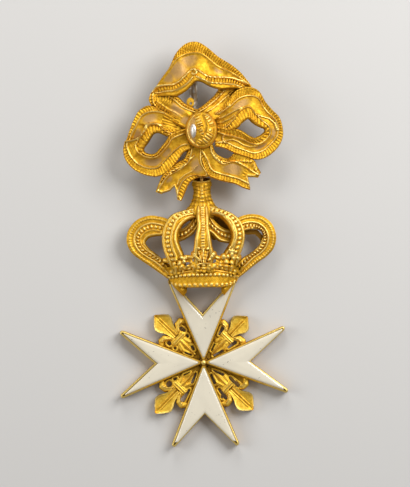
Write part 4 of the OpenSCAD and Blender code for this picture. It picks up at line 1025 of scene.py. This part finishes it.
def inner_walls(casting):
    """Inside surfaces of the crown behind its right-hand arches, painted all over in dark shade."""
    step, floor = 0.12, 1.7

    def inside(x, y):
        return np.maximum.reduce([reach(x, y, wall)[0] for wall in INNER_WALLS])

    def face(x, y):
        return by_distance(INNER_HEIGHTS, x)

    # The lowest value paints these surfaces in dark shade
    slab(casting, (1.0, 15.7), (8.7, 20.4), step, inside, face, floor, upright, even(0))


def neck_relief(y, angle):
    """Height of the pearls, rims and rings on the neck, at y and at an angle round it."""
    shaft = ease((y - 19.6) / 0.4) * ease((24.2 - y) / 0.3)
    away = 1.25 * (angle - np.pi / 2)
    column = 0.2 * hump(away / 0.26) * np.abs(np.sin(np.pi * y / 0.46)) ** 0.7
    rims = 0.12 * (hump((away - 0.55) / 0.14) + hump((away + 0.55) / 0.14))
    rings = 0.05 * np.sin(2 * np.pi * y / 0.31 + 2 * np.sin(3 * angle))
    lattice = 0.1 * ease((22.6 - y) / 0.8) * np.sin(8 * angle + 7 * y) * np.sin(8 * angle - 7 * y)
    return shaft * (column + rims + rings + lattice)


def neck(casting):
    """The ribbed tube that flares into the top of the arches, with a bar across its mouth."""
    sides, bore_rows, bore, bar_y = 108, 4, 0.85, 24.1
    profile = np.array(NECK)
    radius, y = profile[:, 0:1], profile[:, 1:2]
    angle = np.linspace(0, 2 * np.pi, sides, endpoint=False)[None, :]
    relief = neck_relief(y, angle)
    flat = 1 - 0.4 * ease((22.8 - y) / 1.8)
    lean = 0.28 * ease((y - 24.0) / 0.7)
    x = NECK_AT[0] + (radius + relief) * np.cos(angle)
    z = NECK_AT[1] + flat * (radius + relief) * np.sin(angle)
    points = np.stack([x, y - lean * np.sin(angle), z], axis=-1)
    # Painted light and shade: the neck is painted half in shade, with a painted highlight on the rim at its
    # mouth, the bore painted dark as shade, and pearls and rims brighter than the hollows between them
    tone = np.interp(y, [19, 24.5, 24.7, 24.8], [0.36, 0.36, 0.85, 0.6])
    tone[-bore_rows:] = 0.05
    shade = np.clip(tone + 2.2 * relief, 0, 1)
    casting.add(points.reshape(-1, 3), ring_faces(len(profile), sides), shade.ravel())
    ends = [(NECK_AT[0] + way * bore + way * 0.1, bar_y, NECK_AT[1]) for way in (-1, 1)]
    # The bar in the mouth is painted in shade
    bar(casting, *ends, (0.25, 0.25), 0.3)


def gussets(casting):
    """Metal that fills the corners between the band and the top arm of the cross."""
    step, floor, bead_r, bead_high = 0.07, 1.2, 0.27, 0.2
    for outline in GUSSETS:
        corners = np.array(outline, float)
        ahead = unit(np.roll(corners, -1, axis=0) - corners)

        def inside(x, y):
            sides = [u * (y - b) - v * (x - a) for (a, b), (u, v) in zip(corners, ahead)]
            return np.minimum.reduce(sides)

        def face(x, y):
            aside = np.abs(x - CROWN_MIDDLE)
            beads = sum(hump(np.hypot(aside - across, y - up) / bead_r) for across, up in GUSSET_BEADS)
            slope = 1.4 * ease((9.9 - y) / 1.2) + 0.5 * (1 - ease(inside(x, y) / 0.4))
            return by_distance(GUSSET_HEIGHTS, aside) - slope + bead_high * beads

        low, high = corners.min(axis=0) - 0.1, corners.max(axis=0) + 0.1
        slab(casting, low, high, step, inside, face, floor, upright, even(0.6))


def make_crown(material):
    """The crown: its bands, neck, leafwork, walls, corners and feet, as one casting."""
    casting = Casting()
    for rows, relief, thick in (
            (CROWN_LEFT_LOOP, loop_relief("right", "left", 0.75), BAND_THICK),
            (CROWN_RIGHT_LOOP, loop_relief("left", "right", 0.62), BAND_THICK),
            (LEFT_ARCH, arch_relief("right", "left"), BAND_THICK),
            (RIGHT_ARCH, arch_relief("left", "right"), BAND_THICK),
            (MIDDLE_ARCH, MIDDLE_RELIEF, BAND_THICK), (LEFT_REAR_ARCH, REAR_RELIEF, REAR_THICK),
            (RIGHT_REAR_ARCH, REAR_RELIEF, REAR_THICK), (CIRCLET, CIRCLET_RELIEF, BAND_THICK)):
        ribbon(casting, rows, relief, thick)
    neck(casting)
    leafwork(casting)
    inner_walls(casting)
    gussets(casting)
    for x, y in FEET:
        brick(casting, (x, y, FOOT_LEVELS[0]), (x + FOOT_SIZE, y + FOOT_SIZE, FOOT_LEVELS[1]))
    piece = fused("crown_metal", casting)
    note_shelter(piece)
    finish(piece, material, "crown", METAL_SHARP)


# Arms of the cross, each in its own frame with u outwards and v to its left: how far it is turned,
# its two points, and where its notch ends in the metal and in the enamel
Arm = namedtuple("Arm", "name turn low high metal_notch white_notch")
ARMS = [
    Arm("right", 0, (11.3, -4.2), (11.05, 4.5), 6.35, 6.2),
    Arm("top", 90, (11.3, -4.6), (11.3, 4.45), 6.6, 6.22),
    Arm("left", 180, (11.2, -4.4), (11.3, 4.45), 6.7, 6.25),
    Arm("bottom", 270, (11.3, -4.4), (11.3, 4.4), 7.0, 6.85)]
# Where the sides of two arms meet, and the radius of an arm's round tips with the place of its middle
CORNER = 0.2
TIP_R = 0.3
TIP_BACK = 0.86
TIP_IN = 0.51
# Rings of an arm's shell from the wall's foot to the cell's floor: where the ring starts along the
# arm, how far it is set in, its height, and its painted light and shade, dark at the wall's foot and
# on the cell's floor and brightest on the rim
ARM_RINGS = [
    (0.05, 0, 0, 0.15), (0.05, 0, 0.8, 0.35), (0.05, 0.02, 1.41, 0.8), (0.05, 0.05, 1.49, 0.95),
    (0.05, 0.09, 1.52, 1), (0.45, 0.24, 1.52, 1), (0.45, 0.27, 1.46, 0.9), (0.45, 0.27, 0.53, 0.1)]


def turned(points, degrees):
    """Points turned about the middle of the cross."""
    a = math.radians(degrees)
    x, y = points[..., 0], points[..., 1]
    spun = np.array(points, float)
    spun[..., 0] = x * math.cos(a) - y * math.sin(a)
    spun[..., 1] = x * math.sin(a) + y * math.cos(a)
    return spun


def tip_arc(tip, notch):
    """Angles of an arm's side and notch, and the points of the round tip between them."""
    side = math.copysign(1, tip[1])
    middle = (tip[0] - TIP_R * TIP_BACK, side * tip[1] - TIP_R * TIP_IN)
    dx, dy = middle[0] - CORNER, middle[1] - CORNER
    side_angle = math.atan2(dy, dx) + math.asin(TIP_R / math.hypot(dx, dy))
    nx, ny = middle[0] - notch, middle[1]
    notch_angle = math.atan2(ny, nx) - math.asin(TIP_R / math.hypot(nx, ny))
    around = np.linspace(notch_angle - math.pi / 2, side_angle + math.pi / 2, 9)
    arc = np.column_stack([middle[0] + TIP_R * np.cos(around), middle[1] + TIP_R * np.sin(around)])
    if side < 0:
        arc = arc[::-1] * [1, -1]
    return side_angle, notch_angle, arc


def arm_outline(arm, start):
    """Outline of an arm, anticlockwise from its lower root."""
    low_angle, _, low_arc = tip_arc(arm.low, arm.metal_notch)
    high_angle, _, high_arc = tip_arc(arm.high, arm.metal_notch)
    low = CORNER + (start - CORNER) * math.tan(low_angle)
    high = CORNER + (start - CORNER) * math.tan(high_angle)
    return np.concatenate([[[start, -low]], low_arc, [[arm.metal_notch, 0]], high_arc, [[start, high]]])


def set_in(points, by):
    """A polygon with every side moved inwards."""
    straight = 1e-6
    before, after = np.roll(points, 1, axis=0), np.roll(points, -1, axis=0)
    u, v = unit(points - before), unit(after - points)
    p = points + np.column_stack([-u[:, 1], u[:, 0]]) * by
    q = points + np.column_stack([-v[:, 1], v[:, 0]]) * by
    cross = u[:, 0] * v[:, 1] - u[:, 1] * v[:, 0]
    gap = q - p
    share = (gap[:, 0] * v[:, 1] - gap[:, 1] * v[:, 0]) / np.where(np.abs(cross) < straight, 1, cross)
    return np.where(np.abs(cross)[:, None] < straight, p, p + u * share[:, None])


def make_cross(material):
    """The gilt cross: four arms with a cell in each, and a round boss where they meet."""
    casting = Casting()
    for arm in ARMS:
        rings = []
        for start, by, z, _ in ARM_RINGS:
            flat = turned(set_in(arm_outline(arm, start), by), arm.turn)
            rings.append(np.column_stack([flat, np.full(len(flat), z)]))
        # Painted light and shade of each ring, from the table
        tone = np.repeat([ring[3] for ring in ARM_RINGS], len(rings[0]))
        casting.add(np.concatenate(rings), ring_faces(len(rings), len(rings[0])), tone)
    # The boss is a low dome with a bead on it, over a core; the bead is painted with a highlight and the
    # core in shade
    brick(casting, (-0.3, -0.3, 0), (0.3, 0.3, 1.3))
    ball(casting, (0, 0, 0.85), 0.7, 0.6, (1, 1, 0.6))
    ball(casting, (0, 0, 1.5), 0.38, 0.95, (1, 1, 0.9))
    piece = fused("cross_metal", casting)
    note_shelter(piece)
    finish(piece, material, "cross_frame", METAL_SHARP)


# Enamel: where it starts and ends along an arm, its gap to the arm's side, the radius and rise of its
# rounded edge, the height at which the edge starts, its floor, and the angle in degrees past which
# an edge is drawn sharp
ENAMEL_START = 0.72
ENAMEL_END = 10.75
ENAMEL_GAP = 0.27
EDGE_R = 0.4
EDGE_RISE = 0.22
EDGE_Z = 1.42
ENAMEL_FLOOR = 0.56
ENAMEL_SHARP = 60


def stations(arm):
    """Places along an arm where its enamel has a row of points, close together near the tips."""
    step, last = 0.1, 0.4
    return np.concatenate([
        np.arange(ENAMEL_START, arm.white_notch, step), [arm.white_notch],
        np.arange(arm.white_notch + 0.04, ENAMEL_END - last, step),
        ENAMEL_END - last * (1 - np.sin(np.linspace(0, np.pi / 2, 7)))])


def strips(rows, forwards):
    """Faces between rows of points, without the sides that have shrunk to nothing."""
    faces = []
    for one, two in zip(rows, rows[1:]):
        for k in range(len(one) - 1):
            face = list(dict.fromkeys([one[k], two[k], two[k + 1], one[k + 1]]))
            if len(face) > 2:
                faces.append(face if forwards else face[::-1])
    return faces


def make_enamel(arm, material):
    """The white enamel of one arm: two blades that meet on its middle line."""
    across = (1 - np.cos(np.linspace(0, np.pi, 19))) / 2
    index, points, faces = {}, [], []

    def point_at(u, v, depth):
        key = (round(u, 5), round(v, 5))
        if key not in index:
            index[key] = len(points)
            edge = EDGE_RISE * math.sqrt(1 - (1 - min(depth / EDGE_R, 1)) ** 2)
            points.append((u, v, EDGE_Z + edge + 0.06 * ease(depth / 1.6)))
        return index[key]

    for side, tip in ((-1, arm.low), (1, arm.high)):
        side_angle, notch_angle, _ = tip_arc(tip, arm.metal_notch)
        rows = []
        for u in stations(arm):
            outer = CORNER + (u - CORNER) * math.tan(side_angle) - ENAMEL_GAP / math.cos(side_angle)
            notch = (u - arm.white_notch) * math.tan(notch_angle)
            inner = max(0.0, notch)
            to_end = min(ENAMEL_END - u, u - ENAMEL_START)
            row = []
            for v in inner + across * (outer - inner):
                to_side = (outer - v) * math.cos(side_angle)
                to_notch = (v - notch) * math.cos(notch_angle)
                row.append(point_at(u, side * v, max(0, min(to_side, to_notch, to_end))))
            rows.append(row)
        faces += strips(rows, side > 0)
    upper = turned(np.array(points), arm.turn)
    lower = np.column_stack([upper[:, :2], np.full(len(upper), ENAMEL_FLOOR)])
    points, faces = closed_sheet(upper, lower, faces)
    shell = (points, faces, np.full(len(points), 0.5), np.zeros(len(points)))
    piece = object_of(f"enamel_{arm.name}_glass", shell)
    finish(piece, material, f"enamel_{arm.name}", ENAMEL_SHARP)


# Fleurs-de-lis, each in its own frame with u outwards and v to its left: how far it is turned, the
# tip of its leaf, how far its hooks reach, and its pierced holes. A hole runs from u, v to u, v with
# its radius at each end.
Fleur = namedtuple("Fleur", "name turn tip hook holes")
FLEURS = [
    Fleur("top_left", 135, 9.25, 6.9, [
        (2.2, -0.35, 2.6, -0.45, 0.16, 0.2), (1.9, 0.45, 2.7, 0.75, 0.1, 0.12),
        (4.1, 1.3, 4.15, 1.3, 0.15, 0.15), (5.1, 1.35, 5.2, 1.35, 0.26, 0.26),
        (4.0, -1.05, 4.1, -1.1, 0.16, 0.16), (4.9, -1.3, 5.4, -1.2, 0.22, 0.24)]),
    Fleur("top_right", 45, 8.6, 6.5, [
        (1.9, 0.35, 2.8, 0.6, 0.07, 0.11), (1.6, -0.35, 2.9, -0.75, 0.1, 0.2),
        (4.2, 1.1, 5.1, 1.3, 0.1, 0.25), (3.8, -1.05, 4.9, -1.2, 0.13, 0.26)]),
    Fleur("bottom_right", 315, 9.3, 6.9, [
        (1.7, 0.15, 3.0, 0.6, 0.08, 0.2), (1.9, -0.5, 3.0, -0.95, 0.1, 0.2),
        (4.1, 0.95, 5.5, 1.0, 0.2, 0.26), (4.1, -1.2, 5.5, -1.4, 0.18, 0.24),
        (5.0, -1.5, 5.1, -1.75, 0.2, 0.12)]),
    Fleur("bottom_left", 225, 9.5, 7.0, [
        (1.9, 0.3, 3.0, 0.75, 0.14, 0.2), (4.1, 1.2, 5.6, 1.45, 0.14, 0.33),
        (2.3, -0.45, 3.1, -0.75, 0.07, 0.1), (4.2, -1.2, 4.4, -1.3, 0.14, 0.14),
        (5.3, -1.35, 5.4, -1.35, 0.36, 0.36)])]
# Half width of a leaf by its distance from the middle of the cross, before it is fitted to its tip
LEAF_WIDTHS = [
    (5.2, 0.5), (6.2, 0.76), (6.7, 0.98), (7.0, 1.2), (7.3, 1.34), (7.6, 1.4), (7.9, 1.36), (8.2, 1.14),
    (8.5, 0.84), (8.85, 0.46), (9.2, 0.08)]
# Raised bars of a fleur: from u, v to u, v, the radius at each end, and the height of the back
SCROLLS = [
    (4.9, 0.5, 5.6, 0.8, 0.3, 0.38, 1.1), (5.6, 0.8, 6.1, 1.3, 0.38, 0.43, 1.15),
    (6.1, 1.3, 6.15, 1.85, 0.43, 0.43, 1.18), (6.15, 1.85, 5.75, 2.3, 0.43, 0.36, 1.1),
    (5.3, 0.7, 5.95, 1.3, 0.13, 0.13, 1.26), (5.95, 1.3, 6.0, 1.8, 0.13, 0.12, 1.28),
    (4.1, 0.4, 3.3, 0.78, 0.4, 0.34, 1.06), (3.3, 0.78, 2.3, 0.4, 0.32, 0.18, 1.0),
    (4.05, 0.45, 3.1, 0.75, 0.12, 0.1, 1.16)]
STEM = [
    (3.8, 0, 2.6, 0, 0.9, 0.5, 0.94), (4.3, 0, 1.6, 0, 0.36, 0.14, 1.14), (4.3, 0, 1.9, 0, 0.12, 0.1, 1.22),
    (4.68, -0.82, 4.68, 0.82, 0.5, 0.5, 1.14), (4.4, -0.85, 4.4, 0.85, 0.14, 0.14, 1.16),
    (4.68, -0.88, 4.68, 0.88, 0.14, 0.14, 1.25), (4.96, -0.85, 4.96, 0.85, 0.14, 0.14, 1.16)]
# Hook and tip of a fleur as these tables have them, and where its hooks start
TABLE_HOOK = 6.9
TABLE_TIP = 9.2
HOOKS_FROM = 5.5
# Plate behind a fleur: its start, its end, its upper surface and its floor
PLATE_START = 0.8
PLATE_END = 5.75
PLATE_TOP = 0.8
PLATE_FLOOR = 0.15
# Angle in degrees past which a fleur's edge is drawn sharp, and how far from its surface other
# metal still counts as shelter
FLEUR_SHARP = 50
FLEUR_REACH = 0.8


def fitted_bars(fleur):
    """Raised bars on both sides of a fleur's stem, moved to where its hooks reach."""
    bars = SCROLLS + [(a, -b, c, -d, *rest) for a, b, c, d, *rest in SCROLLS] + STEM
    shift = fleur.hook - TABLE_HOOK
    return [(a + shift * (a > HOOKS_FROM), b, c + shift * (c > HOOKS_FROM), d, *rest)
            for a, b, c, d, *rest in bars]


def arm_slopes(fleur):
    """Slopes of the arms below and above a fleur, seen from its own middle line."""
    arms = {arm.turn: arm for arm in ARMS}
    below = arms[(fleur.turn - 45) % 360]
    above = arms[(fleur.turn + 45) % 360]
    return (math.tan(math.pi / 4 - tip_arc(below.high, below.metal_notch)[0]),
            math.tan(math.pi / 4 - tip_arc(above.low, above.metal_notch)[0]))


def fleur_shape(fleur):
    """Two functions of u and v: how far a point is inside the fleur's metal, and the height of its face."""
    bars = fitted_bars(fleur)
    below, above = arm_slopes(fleur)
    corner = CORNER * math.sqrt(2)
    leaf_u, leaf_w = np.array(LEAF_WIDTHS).T
    root = leaf_u[0]
    leaf_u = np.interp(leaf_u, [root, TABLE_HOOK, TABLE_TIP], [root, fleur.hook, fleur.tip])

    def leaf(u, v):
        half = np.interp(u, leaf_u, leaf_w)
        return np.minimum(half - np.abs(v), np.minimum(u - leaf_u[0], leaf_u[-1] - u)), half

    def to_hole(u, v):
        return np.minimum.reduce([-reach(u, v, hole)[0] for hole in fleur.holes])

    def inside(u, v):
        wall = np.where(v > 0, above, below) * (u - corner) - np.abs(v) - 0.03
        solid = np.maximum(leaf(u, v)[0], np.minimum(u - PLATE_START, PLATE_END - u))
        for lump in bars:
            solid = np.maximum(solid, reach(u, v, lump)[0])
        return np.minimum(wall, np.minimum(solid, to_hole(u, v)))

    def face(u, v):
        depth, half = leaf(u, v)
        share = np.abs(v) / np.maximum(half, 0.05)
        ribs = 0.12 * hump((np.abs(v) - 0.17) / 0.13) * ease((leaf_u[-1] - 0.6 - u) / 0.5)
        blade = 0.98 + 0.22 * share + ribs + 0.1 * ease((0.3 - depth) / 0.1) * ease((u - 6.6) / 0.5)
        z = PLATE_TOP + 0.16 * hump((to_hole(u, v) - 0.16) / 0.18)
        z = np.where(depth > 0, np.maximum(z, blade), z)
        for lump in bars:
            away = reach(u, v, lump)[1]
            back = PLATE_TOP + (lump[6] - PLATE_TOP) * hump(away)
            z = np.where(away < 1, np.maximum(z, back), z)
        return z

    return inside, face


def make_fleur(fleur, material):
    """One pierced fleur-de-lis that fills the angle between two arms of the cross."""
    inside, face = fleur_shape(fleur)

    # Painted light and shade: the higher the face, the brighter it is painted, so the plate is in painted
    # shade
    def tone(u, v):
        return np.clip(0.22 + (face(u, v) - PLATE_TOP) * 1.2, 0.2, 1)

    def place(u, v, z):
        return turned(upright(u, v, z), fleur.turn)

    casting = Casting()
    slab(casting, (0.7, -3), (9.7, 3), 0.06, inside, face, PLATE_FLOOR, place, tone)
    piece = object_of(f"fleur_{fleur.name}_metal", casting.shells[0])
    note_shelter(piece, FLEUR_REACH)
    finish(piece, material, f"fleur_{fleur.name}", FLEUR_SHARP)


# Colours in linear light, apart from those that differ from piece to piece: brown painted shade for the
# recesses, darker painted shade for the most sheltered places, a pale painted highlight for the ridges,
# and the pearl's silver
RECESS_SHADE = (0.43, 0.235, 0.022)
DEEPEST_SHADE = (0.26, 0.135, 0.018)
RIDGE_HIGHLIGHT = (0.88, 0.66, 0.2)
PEARL = (0.8, 0.76, 0.68)
# Places of the two colours among a mix node's inputs, and of the mixed colour among its outputs
MIX_COLOURS = (6, 7)
MIX_RESULT = 2


class Recipe:
    """Nodes of one procedural material."""

    def __init__(self, name, **shader_values):
        self.material = bpy.data.materials.new(name)
        self.material.use_nodes = True
        self.tree = self.material.node_tree
        self.shader = self.tree.nodes["Principled BSDF"]
        self.place = self.tree.nodes.new("ShaderNodeTexCoord").outputs["Object"]
        for socket, value in shader_values.items():
            self.shader.inputs[socket.replace("_", " ")].default_value = value

    def attribute(self, name):
        """A value that is stored at each point of a mesh."""
        node = self.tree.nodes.new("ShaderNodeAttribute")
        node.attribute_name = name
        return node.outputs["Fac"]

    def noise(self, size_mm, detail=3.0):
        """Cloudy noise from 0 to 1, with patches of about the given size."""
        node = self.tree.nodes.new("ShaderNodeTexNoise")
        node.inputs["Scale"].default_value = 1 / (size_mm * MM)
        node.inputs["Detail"].default_value = detail
        self.tree.links.new(self.place, node.inputs["Vector"])
        return node.outputs["Fac"]

    def spread(self, value, low, high, to_low=0.0, to_high=1.0):
        """Stretches the part of a value between low and high."""
        node = self.tree.nodes.new("ShaderNodeMapRange")
        node.interpolation_type = "SMOOTHSTEP"
        for place, number in zip((1, 2, 3, 4), (low, high, to_low, to_high)):
            node.inputs[place].default_value = number
        self.tree.links.new(value, node.inputs[0])
        return node.outputs[0]

    def maths(self, operation, one, two):
        """One operation on two values, each a number or another value."""
        node = self.tree.nodes.new("ShaderNodeMath")
        node.operation = operation
        for place, value in enumerate((one, two)):
            if isinstance(value, (int, float)):
                node.inputs[place].default_value = value
            else:
                self.tree.links.new(value, node.inputs[place])
        return node.outputs[0]

    def blend(self, share, one, two):
        """A mix of two colours, each of its own or another mix."""
        node = self.tree.nodes.new("ShaderNodeMix")
        node.data_type = "RGBA"
        self.tree.links.new(share, node.inputs[0])
        for place, value in zip(MIX_COLOURS, (one, two)):
            if isinstance(value, tuple):
                node.inputs[place].default_value = (*value, 1)
            else:
                self.tree.links.new(value, node.inputs[place])
        return node.outputs[MIX_RESULT]

    def feed(self, socket, value):
        """Joins a value to one of the shader's sockets."""
        self.tree.links.new(value, self.shader.inputs[socket])

    def grain(self, value, height_mm, strength=1.0):
        """Bumps as deep as the height where the value is 1."""
        node = self.tree.nodes.new("ShaderNodeBump")
        node.inputs["Distance"].default_value = height_mm * MM
        node.inputs["Strength"].default_value = strength
        self.tree.links.new(value, node.inputs["Height"])
        self.feed("Normal", node.outputs["Normal"])


def cast_gilt(name, gold, bright, worn, matte):
    """Worn gilding over a casting, grey where it is rubbed, with brown painted shade in the recesses and
    pale painted highlights on the ridges.
    """
    recipe = Recipe(name, Metallic=1.0, Specular_Tint=(1, 0.8, 0.36, 1))
    openness, tone, satin = recipe.attribute("open"), recipe.attribute("tone"), recipe.attribute("satin")
    speckle = recipe.noise(0.25, 2.0)
    mottled = recipe.spread(recipe.noise(0.45, 4.0), 0.36, 0.64)
    rub = recipe.maths("ADD", satin, recipe.maths("MULTIPLY", recipe.noise(1.6), 0.5))
    rub = recipe.spread(rub, 0.4, 1.5)
    # Painted shade, strongest where the surface is most sheltered or lowest in painted light
    painted_shade = recipe.spread(recipe.maths("ADD", openness, recipe.maths("MULTIPLY", speckle, 0.2)), 0.66, 0.16)
    painted_shade = recipe.maths("MAXIMUM", painted_shade, recipe.spread(tone, 0.2, 0.02))
    # Painted highlight where the surface stands up and is in the clear
    ridge = recipe.maths("MULTIPLY", recipe.spread(tone, 0.55, 0.9), recipe.spread(openness, 0.5, 0.9))
    colour = recipe.blend(mottled, gold, bright)
    colour = recipe.blend(rub, colour, worn)
    # Brown painted shade in the recesses and the pale painted highlight on the ridges; after the pearl's
    # silver, the darkest painted shade goes over all
    colour = recipe.blend(recipe.spread(tone, 0.46, 0.26), colour, RECESS_SHADE)
    colour = recipe.blend(ridge, colour, RIDGE_HIGHLIGHT)
    colour = recipe.blend(recipe.spread(satin, 1.5, 2.5), colour, PEARL)
    colour = recipe.blend(painted_shade, colour, DEEPEST_SHADE)
    recipe.feed("Base Color", colour)
    rough = recipe.spread(ridge, 0, 1, matte, 0.42)
    recipe.feed("Roughness", recipe.maths("MAXIMUM", rough, recipe.spread(painted_shade, 0, 1, 0, 0.7)))
    recipe.grain(recipe.noise(0.2, 3.0), 0.035)
    return recipe.material


def plain_gilt():
    """Duller gilding on the wire and sheet behind the bow."""
    recipe = Recipe("plain_gilt", Metallic=1.0, Roughness=0.42)
    colour = recipe.blend(recipe.spread(recipe.noise(0.8), 0.4, 0.7), (0.72, 0.42, 0.1), (0.3, 0.16, 0.05))
    recipe.feed("Base Color", colour)
    recipe.grain(recipe.noise(0.16, 2.0), 0.015)
    return recipe.material


def dull_steel():
    """Drawn steel with brown stains."""
    recipe = Recipe("dull_steel", Metallic=1.0)
    stain = recipe.spread(recipe.noise(1.0), 0.45, 0.65)
    recipe.feed("Base Color", recipe.blend(stain, (0.78, 0.75, 0.69), (0.42, 0.33, 0.22)))
    recipe.feed("Roughness", recipe.spread(stain, 0, 1, 0.35, 0.55))
    recipe.grain(recipe.noise(0.12, 2.0), 0.008)
    return recipe.material


def white_enamel():
    """Glossy warm white with faint clouds and a few dark specks."""
    recipe = Recipe("white_enamel", Roughness=0.14, Coat_Weight=0.5, Coat_Roughness=0.08)
    cloud = recipe.spread(recipe.noise(4.0), 0.35, 0.7)
    specks = recipe.spread(recipe.noise(0.22, 0.0), 0.76, 0.8)
    few = recipe.maths("MULTIPLY", specks, recipe.spread(recipe.noise(1.7), 0.5, 0.62))
    colour = recipe.blend(cloud, (0.76, 0.7, 0.56), (0.7, 0.645, 0.52))
    recipe.feed("Base Color", recipe.blend(few, colour, (0.3, 0.26, 0.22)))
    recipe.grain(recipe.noise(1.6, 1.0), 0.03)
    return recipe.material


def kept(node, material):
    """Gives a node of the model that is kept as it is its material."""
    piece = bpy.data.objects[node]
    piece.data.materials.clear()
    piece.data.materials.append(material)


def area_light(name, place_mm, size_mm, power):
    """A square soft light that faces the middle of the badge."""
    light = bpy.data.lights.new(name, "AREA")
    light.size = size_mm * MM
    light.energy = power
    lamp = bpy.data.objects.new(name, light)
    lamp.location = Vector(place_mm) * MM
    lamp.rotation_euler = (-lamp.location).to_track_quat("-Z", "Y").to_euler()
    bpy.context.scene.collection.objects.link(lamp)


def make_stage():
    """A pale floor just under the badge, and soft studio light."""
    half, drop, world_light = 1.0, 0.02, 0.3
    corners = [(-half, -half, 0), (half, -half, 0), (half, half, 0), (-half, half, 0)]
    mesh = bpy.data.meshes.new("floor")
    mesh.from_pydata(corners, [], [(0, 1, 2, 3)])
    floor = bpy.data.objects.new("floor", mesh)
    floor.location.z = -drop * MM
    bpy.context.scene.collection.objects.link(floor)
    mesh.materials.append(Recipe("pale_floor", Base_Color=(0.6, 0.59, 0.575, 1), Roughness=0.9).material)
    world = bpy.data.worlds.new("studio")
    world.use_nodes = True
    background = world.node_tree.nodes["Background"]
    background.inputs["Color"].default_value = (1, 0.97, 0.93, 1)
    background.inputs["Strength"].default_value = world_light
    bpy.context.scene.world = world
    area_light("key", (150, 110, 170), 150, 0.56)
    area_light("fill", (-190, 20, 120), 120, 0.165)
    area_light("top", (-20, 190, 110), 100, 0.15)


def make_camera():
    """A long lens straight above the badge, as in the photograph, which is taller than it is wide."""
    sensor, height, front = 36, 500, 3
    view_height, middle, turn = 65.745, (0.48, 0.11), -1.3
    camera = bpy.data.cameras.new("camera")
    camera.sensor_width = sensor
    camera.lens = sensor * (height - front) / view_height
    camera.clip_end = 10
    camera.dof.use_dof = False
    eye = bpy.data.objects.new("camera", camera)
    eye.location = (middle[0] * MM, middle[1] * MM, height * MM)
    eye.rotation_euler = (0, 0, math.radians(turn))
    bpy.context.scene.collection.objects.link(eye)
    bpy.context.scene.camera = eye


bright_gilt = cast_gilt(
    "cast_gilt", gold=(0.61, 0.315, 0.018), bright=(0.79, 0.465, 0.035),
    worn=(0.56, 0.345, 0.14), matte=0.57)
matte_gilt = cast_gilt(
    "matte_gilt", gold=(0.74, 0.46, 0.045), bright=(0.9, 0.61, 0.08),
    worn=(0.6, 0.42, 0.12), matte=0.6)
enamel_glass = white_enamel()
make_bow(bright_gilt)
make_crown(bright_gilt)
make_cross(bright_gilt)
for arm in ARMS:
    make_enamel(arm, enamel_glass)
for fleur in FLEURS:
    make_fleur(fleur, matte_gilt)
pin_gilt = plain_gilt()
for node in ("pin_bracket", "pin_catch", "suspension_ring"):
    kept(node, pin_gilt)
kept("pin_stem", dull_steel())
make_stage()
make_camera()
bpy.context.scene.view_settings.view_transform = "Standard"
